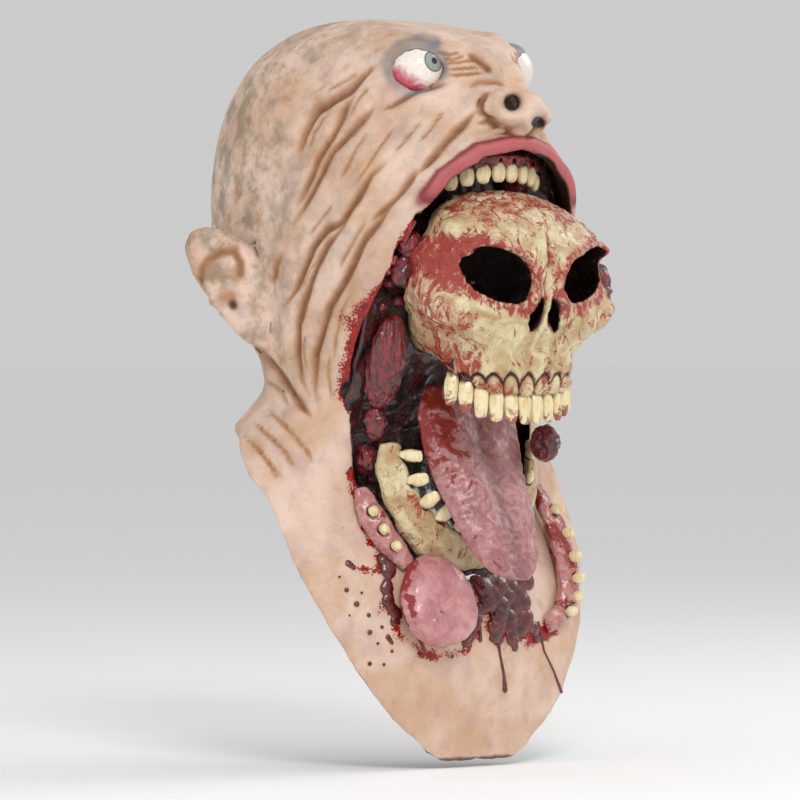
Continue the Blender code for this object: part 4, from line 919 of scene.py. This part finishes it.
@dataclass
class SkullFace:
    """The skull that bursts out of the mouth; flat places are distance from the middle plane and height, in mm."""

    base: float = -0.2239
    height: float = 0.1188
    socket: tuple[float, float] = (0.0333, -0.1535)
    socket_half: tuple[float, float] = (0.0215, 0.0155)
    nasal: tuple[float, float] = (0.0068, -0.1770)
    nasal_half: tuple[float, float] = (0.0055, 0.0105)
    brow: Path = ((10, -158), (16, -150), (30, -141), (44, -137), (58, -142))
    under_socket: Path = ((12, -168), (22, -176), (38, -177), (52, -168))
    cheekbone: Path = ((40, -186), (52, -182), (64, -176))
    cheek_hollow: Path = ((50, -204), (60, -200))
    tooth_count: int = 12
    root_half: tuple[float, float] = (0.0050, 0.0105)
    root_reach: float = 0.014
    nub: tuple[float, float] = (450.0, 231.0)

    def shape(self, clay: Clay) -> tuple[Array, Array, Array]:
        """Carve the brow, the sockets' rims, cheekbones, tooth roots and cracks.

        Args:
            clay: the skull's clay.

        Returns:
            Relief, cavity and blood for each vertex.
        """
        co = clay.co
        x, z = np.abs(co[:, 0]), co[:, 2]
        flat = np.stack([x, z], axis=1) * 1000
        middle = np.array([0.0, -0.110, -0.165])
        outer = ramp(np.sum((co - middle) * clay.no, axis=1), -0.002, 0.006)
        over = (x - self.socket[0]) / self.socket_half[0]
        up = (z - self.socket[1] - 0.30 * (x - self.socket[0])) / self.socket_half[1]
        socket = (np.abs(over) ** 2.6 + np.abs(up) ** 2.6) ** (1 / 2.6)
        across = (x - self.nasal[0]) / self.nasal_half[0]
        along = (z - self.nasal[1] + 0.35 * (x - self.nasal[0])) / self.nasal_half[1]
        nasal = np.sqrt(across ** 2 + along ** 2)
        relief = 0.0034 * bell(path_distance(flat, self.brow), 5.0) * ramp(socket, 0.95, 1.1)
        relief += 0.0016 * bell(path_distance(flat, self.under_socket), 4.0)
        relief += 0.0026 * bell(path_distance(flat, self.cheekbone), 7.0)
        relief -= 0.0034 * bell(path_distance(flat, self.cheek_hollow), 9.0)
        relief += 0.0014 * bell(nasal - 1.35, 0.25)
        frown = bell(x, 0.0024) * bell(z + 0.140, 0.012)
        relief -= 0.0030 * frown
        root, gap = self.tooth_roots(co)
        relief += 0.0016 * root - 0.0016 * gap
        nub = bell(np.linalg.norm(on_sheet(co, False) - self.nub, axis=1), 9.0) * (co[:, 1] < -0.10)
        relief += 0.0048 * nub
        relief += 0.0011 * cloud(co, 0.011, 4.0) + 0.0008 * cloud(co, 0.0045, 9.0) + 0.0004 * cloud(co, 0.0020, 2.0)
        crack = np.abs(cloud(co, 0.020, 21.0, (1.0, 1.0, 1.6)))
        cracks = bell(crack, 0.020) * ramp(cloud(co, 0.040, 8.0), -0.1, 0.3)
        relief -= 0.0009 * cracks
        # painted shade: sockets, nasal hole, cracks, gaps between roots, the frown and the inner side are marked dark
        cavity = np.clip(2.6 - 2.2 * socket, 0.0, 1.0) + np.clip(2.4 - 1.9 * nasal, 0.0, 1.0)
        cavity += 0.45 * cracks + 1.0 * gap + 0.4 * frown + 1.0 - outer
        cheek = bell(path_distance(flat, self.cheek_hollow), 14.0)
        share = (z - self.base) / self.height
        blood = 0.33 + 0.45 * bell(socket - 1.15, 0.30) + 0.42 * cheek + 0.20 * (1 - ramp(share, 0.0, 0.14))
        blood += 0.24 * ramp(x, 0.045, 0.066) + 0.24 * ramp(share, 0.74, 0.97) + 0.30 * frown - 0.3 * nub
        return relief * outer, np.clip(cavity, 0.0, 1.0), np.clip(blood, 0.0, 1.0)

    def tooth_roots(self, co: Array) -> tuple[Array, Array]:
        """Bulge over each tooth's root and the dark gap between neighbours.

        Args:
            co: places of the skull's vertices.

        Returns:
            Bulge and gap, each from 0 to 1.
        """
        boxes = [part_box("skull_tooth_%d" % index) for index in range(1, self.tooth_count + 1)]
        axes = np.array([[(low[0] + high[0]) / 2, (low[1] + high[1]) / 2] for low, high in boxes])
        arch = np.array([0.0, axes[:, 1].max() + 0.002])
        lift = co[:, 2] - self.base
        nearest = np.full(len(co), 9.0)
        for axis in axes:
            out = (axis - arch) / np.linalg.norm(axis - arch)
            shift = co[:, :2] - axis
            side = np.abs(shift @ np.array([-out[1], out[0]])) / self.root_half[0]
            side = np.where(np.linalg.norm(shift, axis=1) < self.root_reach, side, 9.0)
            nearest = np.minimum(nearest, np.hypot(side, np.maximum(lift, 0.0) / self.root_half[1]))
        low_part = (lift < 0.015) & (nearest < 5.0)
        root = (1 - ramp(nearest, 0.65, 0.95)) * low_part
        outline = bell(nearest - 1.10, 0.17) + (nearest > 1.0) * (1 - ramp(lift, 0.001, 0.005))
        return root, np.clip(outline, 0.0, 1.0) * low_part


@dataclass
class Teeth:
    """Teeth of one row: rounded, ridged, darker at the root and bloody at the tip."""

    nodes: tuple[str, ...]
    down: tuple[float, float, float]
    amount: float = 0.5
    root: float = 0.28
    tip: float = 0.30
    edge: float = 0.0016
    grow: float = 1.06

    def build(self, material: bpy.types.Material) -> None:
        """Build every tooth of the row.

        Args:
            material: the teeth's finish.
        """
        for order, node in enumerate(self.nodes):
            clay = Clay(node, node + "_enamel")
            clay.refine(lambda place, normal: self.edge, 3)
            clay.relax(np.full(len(clay.co), 0.5), 7)
            along = clay.co @ np.array(self.down)
            share = (along - along.min()) / (along.max() - along.min())
            middle = clay.co.mean(axis=0)
            grown = clay.co - middle
            clay.co = middle + grown * np.where(share > 0.35, self.grow, 1.0)[:, None]
            clay.push(0.00035 * cloud(clay.co, 0.0030, 6.0, (0.6, 0.6, 2.0)) + 0.0003 * cloud(clay.co, 0.0060, 3.0))
            shift = 0.12 * cloud(clay.co, 0.004, 7.0)
            clay.paint(Paint.CAVITY, (1 - ramp(share + shift, self.root * 0.5, self.root + 0.25)))
            amount = self.amount * (1.0 + 0.35 * np.sin(1.7 * order + 0.4))
            red = amount * (0.45 + 0.75 * ramp(share + shift, 1 - self.tip, 1.0))
            red += amount * 0.35 * (1 - ramp(share, 0.2, 0.5))
            clay.paint(Paint.BLOOD, red)
            clay.done(material, "tooth_enamel", node)


@dataclass
class Tongue:
    """Carving of the tongue: middle groove, creased sides and lumps."""

    def shape(self, clay: Clay) -> tuple[Array, Array, Array]:
        """Relief, cavity and blood for each vertex."""
        co = clay.co
        front = ramp(-clay.no[:, 1], -0.1, 0.4)
        middle = bell(co[:, 0] + 0.002 * cloud(co, 0.02, 2.0), 0.0065)
        ripple = np.sin(co[:, 2] * 900.0 + 2.5 * cloud(co, 0.014, 3.0) + np.abs(co[:, 0]) * 320.0)
        side = ramp(np.abs(co[:, 0]), 0.012, 0.030)
        relief = front * (-0.0014 * middle + 0.00022 * ripple * (0.20 + 0.80 * side))
        relief += 0.0011 * cloud(co, 0.016, 5.0) + 0.0004 * cloud(co, 0.005, 1.0)
        top = ramp(co[:, 2], -0.290, -0.240)
        left = ramp(-co[:, 0], 0.004, 0.026)
        blood = 0.20 + 0.34 * top * left + 0.14 * left * (1 - top) + 0.14 * top
        # painted shade: the middle groove is marked dark
        return relief, np.clip(middle * front * 0.30, 0.0, 1.0), blood


@dataclass
class Chin:
    """Carving of the chin's flap: a soft dimple, red painted shade on its left, and blood at its foot."""

    middle: tuple[float, float] = (439.0, 599.0)
    dimple: tuple[float, float] = (440.0, 612.0)

    def shape(self, clay: Clay) -> tuple[Array, Array, Array]:
        """Relief, cavity and blood for each vertex."""
        places = on_sheet(clay.co, False)
        off = places - self.middle
        relief = 0.0009 * cloud(clay.co, 0.020, 4.0) + 0.0003 * cloud(clay.co, 0.006, 2.0)
        relief -= 0.0024 * bell(np.linalg.norm(places - self.dimple, axis=1), 9.0)
        # painted shade in red on the left, blood at the foot and top edge, all carried as blood
        shade = 0.50 * ramp(-off[:, 0], 14, 34) + 0.40 * ramp(off[:, 1], 30, 48) + 0.30 * ramp(-off[:, 1], 26, 44)
        return relief, np.zeros(len(places)), 0.14 + shade


@dataclass
class Eye:
    """Eyeball with iris and pupil painted round its line of sight."""

    side: int
    radius: float = 0.0165
    sight: tuple[float, float, float] = (0.0, -0.957, 0.290)

    def build(self, material: bpy.types.Material) -> None:
        """Build the eyeball.

        Args:
            material: the eye's finish.
        """
        word = "right" if self.side < 0 else "left"
        clay = Clay("eyeball_" + word, "eye_" + word)
        clay.refine(lambda place, normal: 0.0015, 4)
        centre = np.array([self.side * EYE_PLACE[0], EYE_PLACE[1], EYE_PLACE[2]])
        facing = np.array([self.side * 0.50, -0.75, 0.43])
        ray = clay.co - centre
        reach = np.linalg.norm(ray, axis=1)
        ahead = (ray @ facing) / np.linalg.norm(facing)
        round_face = ahead > -0.0068
        clay.co = np.where(round_face[:, None], centre + ray / reach[:, None] * self.radius, clay.co)
        clay.normals()
        sight = np.array([abs(self.sight[0]), self.sight[1], self.sight[2]])
        sight = sight / np.linalg.norm(sight)
        turn = np.degrees(np.arccos(np.clip((clay.co - centre) @ sight / self.radius, -1.0, 1.0)))
        clay.paint(Paint.LID, np.clip(1.0 - turn / 42.0, 0.0, 1.0))
        low = (clay.co[:, 2] - centre[2]) / self.radius
        left = (centre - clay.co) @ SHEET_RIGHT / self.radius
        clay.paint(Paint.BLOOD, np.clip(0.26 - 0.75 * low + 0.50 * left, 0.0, 1.0))
        clay.done(material, "eye_gloss", "eyeball_" + word)


@dataclass
class Gore:
    """Beads, drips and strands of blood, each a chain of balls that are melted into one body."""

    name: str
    grain: float
    chains: tuple[tuple[tuple[float, float, float, float], ...], ...]
    lift: float = 0.3
    stray: float = 0.0

    def build(self, skin: bpy.types.Object, material: bpy.types.Material) -> bpy.types.Object:
        """Model the chains on the skin.

        Args:
            skin: the skin on which the chains lie.
            material: finish of the blood.

        Returns:
            The finished piece.
        """
        bpy.ops.object.select_all(action="DESELECT")
        made = []
        for chain in self.chains:
            for first, second in zip(chain, chain[1:] or chain):
                made += self.balls(skin, first, second)
        for item in made:
            item.select_set(True)
        bpy.context.view_layer.objects.active = made[0]
        bpy.ops.object.join()
        piece = bpy.context.object
        piece.name = self.name
        piece.data.name = self.name
        bpy.ops.object.transform_apply(location=True, rotation=True, scale=True)
        melt = piece.modifiers.new("melt", "REMESH")
        melt.mode = "VOXEL"
        melt.voxel_size = self.grain
        bpy.ops.object.modifier_apply(modifier="melt")
        soften = piece.modifiers.new("soften", "SMOOTH")
        soften.factor = 0.6
        soften.iterations = 3
        bpy.ops.object.modifier_apply(modifier="soften")
        bpy.ops.object.shade_smooth()
        piece.data.materials.append(material)
        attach(piece, "root")
        LOG.info("%s: %d faces", self.name, len(piece.data.polygons))
        return piece

    def balls(self, skin: bpy.types.Object, first: tuple[float, ...], second: tuple[float, ...]) -> list:
        """Balls from one chain place to the next: across and down on the sheet, half width and height in mm."""
        start, end = np.array(first, float), np.array(second, float)
        length = np.linalg.norm((end - start)[:2]) * SHEET_UNIT
        steps = max(int(length / (min(start[2], end[2]) * 0.0008)), 1)
        made = []
        for step in range(steps + 1 if length > 0 else 1):
            across, down, wide, high = start + (end - start) * step / steps
            odd = noise.noise_vector(Vector((across, down, wide))) * self.stray
            across, down, wide = across + 4.0 * wide * odd.x, down + 4.0 * wide * odd.y, wide * (1.0 + odd.z)
            place, normal = touch(skin, across, down)
            if place is None:
                continue
            centre = place + normal * high * self.lift * 0.001
            bpy.ops.mesh.primitive_uv_sphere_add(
                segments=12, ring_count=8, radius=1.0, location=centre, scale=(wide * 0.001, wide * 0.001, high * 0.001),
                rotation=normal.to_track_quat("Z", "Y").to_euler(),
            )
            made.append(bpy.context.object)
        return made


def touch(target: bpy.types.Object, across: float, down: float) -> tuple[Optional[Vector], Optional[Vector]]:
    """Find where the line of sight through a sheet place meets a piece.

    Args:
        target: piece that is looked at.
        across: sheet value across.
        down: sheet value down.

    Returns:
        Place and outward normal, or None twice where the line misses.
    """
    sight = Vector(SHEET_AWAY)
    sideways = Vector(SHEET_RIGHT) * (across - SHEET_MIDDLE) * SHEET_UNIT
    origin = sideways + Vector((0, 0, HEM_LEVEL + (SHEET_HEM - down) * SHEET_UNIT)) - sight
    hit, place, normal, _index = target.ray_cast(origin, sight)
    return (place, normal) if hit else (None, None)


# Blood on the bib, drawn on the sheet: across, down, half width and height in millimetres
BLOOD_BEADS = (
    ((347, 587, 1.6, 0.9),), ((357, 601, 1.9, 1.0),), ((369, 612, 1.5, 0.9),), ((370, 629, 1.7, 1.0),),
    ((382, 624, 1.3, 0.8),), ((370, 660, 1.5, 0.9),), ((384, 661, 1.2, 0.8),), ((567, 709, 1.2, 0.9),),
    ((349, 561, 2.4, 0.7), (354, 565, 1.8, 0.7)), ((340, 574, 1.0, 0.7),), ((362, 590, 1.0, 0.7),),
    ((378, 640, 1.1, 0.7),), ((392, 648, 1.2, 0.8),), ((420, 652, 1.4, 0.8),), ((452, 655, 1.2, 0.8),),
    ((350, 612, 0.9, 0.6),), ((388, 634, 1.8, 0.9), (392, 640, 1.2, 0.8)),
)
BLOOD_DRIPS = (
    ((497, 634, 1.5, 1.0), (500, 655, 1.0, 0.8), (504, 676, 1.1, 0.9), (505, 691, 1.9, 1.4)),
    ((539, 626, 1.3, 0.9), (545, 654, 0.8, 0.7), (555, 675, 0.8, 0.7), (563, 697, 1.3, 1.0)),
    ((420, 638, 1.5, 0.9), (424, 648, 1.0, 0.8)),
    ((476, 612, 1.6, 1.0), (480, 628, 1.1, 0.8), (480, 640, 1.5, 1.1)),
)
GORE_FRINGE = (
    ((384, 548, 4.8, 2.4), (386, 572, 4.8, 2.2), (389, 596, 4.2, 1.8), (396, 618, 3.2, 1.2)),
    ((464, 642, 2.8, 1.2), (476, 626, 3.6, 1.8), (481, 606, 4.0, 2.4)),
    ((484, 588, 6.4, 3.2), (489, 608, 6.2, 3.0), (494, 626, 5.4, 2.4), (498, 642, 3.0, 1.4)),
    ((500, 590, 6.8, 3.4), (506, 612, 6.8, 3.0), (511, 632, 5.6, 2.4), (515, 648, 3.0, 1.4)),
    ((520, 592, 6.0, 3.0), (525, 614, 6.0, 2.8), (530, 630, 5.0, 2.2), (538, 640, 3.0, 1.4)),
    ((492, 592, 7.0, 3.0), (498, 610, 7.0, 2.8), (502, 626, 5.6, 2.2)),
    ((511, 594, 7.4, 3.0), (516, 610, 7.4, 2.8), (520, 628, 5.6, 2.2)),
    ((478, 584, 5.0, 2.4), (500, 582, 6.0, 2.8), (526, 586, 6.0, 2.8)),
    ((366, 480, 3.4, 1.8), (372, 508, 3.8, 2.0), (380, 534, 4.4, 2.2)),
)
GORE_BERRIES = (
    ((396, 252, 4.2, 3.8),), ((403, 238, 3.6, 3.2),), ((388, 282, 4.6, 4.0),), ((398, 300, 3.8, 3.4),),
    ((383, 305, 3.2, 2.8),), ((392, 319, 3.4, 3.0),), ((372, 432, 4.2, 3.6),), ((364, 450, 4.6, 3.8),),
    ((377, 462, 3.6, 3.2),), ((371, 478, 3.4, 3.0),), ((380, 446, 2.8, 2.6),), ((369, 494, 2.8, 2.4),),
)


@dataclass
class Studio:
    """Pale floor, soft lights and the camera."""

    target: tuple[float, float, float] = (-0.0367, -0.0736, -0.2285)
    distance: float = 4.4
    lens: float = 330.0
    floor: FlatFinish = FlatFinish("studio_floor", "FCFCFC")

    def build(self) -> None:
        """Set the stage."""
        bpy.ops.mesh.primitive_plane_add(size=40.0, location=(0, 0, -0.4490))
        plane = bpy.context.object
        plane.name = "studio_floor"
        plane.data.transform(Matrix.Translation(plane.location))
        plane.location = (0, 0, 0)
        plane.data.materials.append(self.floor.build())
        camera = bpy.data.cameras.new("camera")
        camera.lens = self.lens
        camera.sensor_width = 36.0
        camera.clip_end = 20.0
        rig = bpy.data.objects.new("camera", camera)
        bpy.context.scene.collection.objects.link(rig)
        away = Vector((0.643, 0.766, -0.02)).normalized()
        rig.location = Vector(self.target) - away * self.distance
        rig.rotation_euler = away.to_track_quat("-Z", "Y").to_euler()
        bpy.context.scene.camera = rig
        for name, place, size, power in (
            ("key", (-0.9, -1.7, 1.2), 0.7, 21.0),
            ("fill", (-1.9, 0.1, 0.3), 1.4, 3.0),
            ("rim", (1.5, -0.4, 0.8), 0.9, 9.0),
        ):
            lamp = bpy.data.lights.new(name, "AREA")
            lamp.size = size
            lamp.energy = power
            light = bpy.data.objects.new(name, lamp)
            bpy.context.scene.collection.objects.link(light)
            light.location = place
            light.rotation_euler = (Vector(self.target) - Vector(place)).to_track_quat("-Z", "Y").to_euler()
        world = bpy.data.worlds.new("studio")
        world.use_nodes = True
        world.node_tree.nodes["Background"].inputs["Color"].default_value = (1.0, 1.0, 1.0, 1.0)
        world.node_tree.nodes["Background"].inputs["Strength"].default_value = 0.60
        bpy.context.scene.world = world
        bpy.context.scene.view_settings.view_transform = "Standard"


def row(start: str, count: int, first: int = 1) -> tuple[str, ...]:
    """Names of a numbered row of nodes."""
    return tuple("%s_%d" % (start, index) for index in range(first, first + count))


def main() -> None:
    """Build the mask piece by piece."""
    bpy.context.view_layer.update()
    noise.seed_set(STRAY_SEED)
    skin = MaskSkin().build()
    for side in (-1, 1):
        Eye(side).build(EyeFinish().build() if side < 0 else bpy.data.materials["eye_gloss"])
    bone = BoneFinish().build()
    Dressed("skull", "skull_bone", "bone_latex", 0.0016, 5, hollow_shade=900.0, fine_level=-0.2070, shape=SkullFace().shape).build(bone)
    jaw_pits = ((0.0010, 0.010), (0.0006, 0.004))
    Dressed("jawbone", "jawbone_bone", "bone_latex", 0.0015, 6, jaw_pits, blood=0.36).build(bone)
    enamel = ToothFinish(amount=0.45).build()
    Teeth(row("skull_tooth", 12), (0.0, 0.0, -1.0), 0.62, tip=0.42, grow=1.13).build(enamel)
    Teeth(row("upper_tooth", 8), (0.0, 0.0, -1.0), 0.30).build(enamel)
    Teeth(row("jaw_tooth", 10), (0.0, -0.4, 1.0), 0.35).build(enamel)
    Teeth(row("lip_tooth_right", 3) + row("lip_tooth_left", 6), (-0.3, -1.0, 0.1), 0.30).build(enamel)
    tongue = WetFinish("tongue_latex", "C08A88", "9A5F60", "8E2018", 0.50, 110.0, (1.0, 1.0, 1.0), 0.0007, 0.38, 0.25)
    Dressed("tongue", "wet_tongue", "tongue_latex", 0.0017, 8, shape=Tongue().shape).build(tongue.build())
    gum = WetFinish("gum_latex", "C0504E", "8A1F22", "5A0608", 0.50, 160.0)
    Dressed("upper_gum", "gum", "gum_latex", 0.0015, 6, ((0.0006, 0.005),)).build(gum.build())
    torn = WetFinish("torn_flesh", "D09890", "A86464", "8E0E0E", 0.50, 110.0, (1.0, 1.0, 1.0), 0.0008, 0.26, 0.6)
    flesh = torn.build()
    Dressed("torn_lip_right", "torn_lip_right_flesh", "torn_flesh", 0.0014, 6, ((0.0010, 0.008), (0.0004, 0.003)), blood=0.30).build(flesh)
    Dressed("torn_lip_left", "torn_lip_left_flesh", "torn_flesh", 0.0014, 6, ((0.0010, 0.008), (0.0004, 0.003)), blood=0.52).build(flesh)
    chin = WetFinish("chin_flesh", "D49A98", "B8747A", "8E1018", 0.50, 60.0, (1.0, 1.0, 1.0), 0.0005, 0.30, 0.5)
    Dressed("chin_flap", "chin_flap_flesh", "torn_flesh", 0.0015, 10, (), shape=Chin().shape).build(chin.build())
    gore = WetFinish("gore_latex", "5E0A0E", "170305", "020101", 0.45, 110.0, (1.0, 1.0, 0.5), 0.0022, 0.15, 1.0)
    bed = Dressed("gore_bed", "wet_gore", "gore_latex", 0.0030, 5, ((0.0016, 0.012), (0.0010, 0.005)), (1.0, 1.0, 2.2)).build(gore.build())
    lump = WetFinish("lump_latex", "A01A26", "4A0710", "200306", 0.42, 140.0, (2.2, 2.2, 0.5), 0.0018, 0.14, 1.0).build()
    for node in ("berry_upper", "berry_lower", "muscle_right", "muscle_left", "red_lump", "lower_lump", "hanging_lump", "throat_lump"):
        fibres = (0.5, 0.5, 2.6) if node.startswith("muscle") else (1.0, 1.0, 1.0)
        swell = 0.0016 if node.startswith("berry") else 0.0004
        pits = ((0.0012, 0.004), (0.0006, 0.002))
        Dressed(node, node + "_flesh", "lump_latex", 0.0013, 5, pits, fibres, swell=swell).build(lump)
    blood = WetFinish("fresh_blood", "7A0A0C", "3A0406", "1A0203", 0.4, 200.0, depth=0.0006, rough=0.10).build()
    Gore("blood_beads", 0.00035, BLOOD_BEADS).build(skin, blood)
    Gore("blood_drips", 0.00035, BLOOD_DRIPS).build(skin, blood)
    Gore("gore_fringe", 0.00070, GORE_FRINGE, 0.2, 0.35).build(skin, blood)
    Gore("gore_berries", 0.00060, GORE_BERRIES, 0.4, 0.15).build(bed, lump)
    Studio().build()


if __name__ == "__main__":
    main()
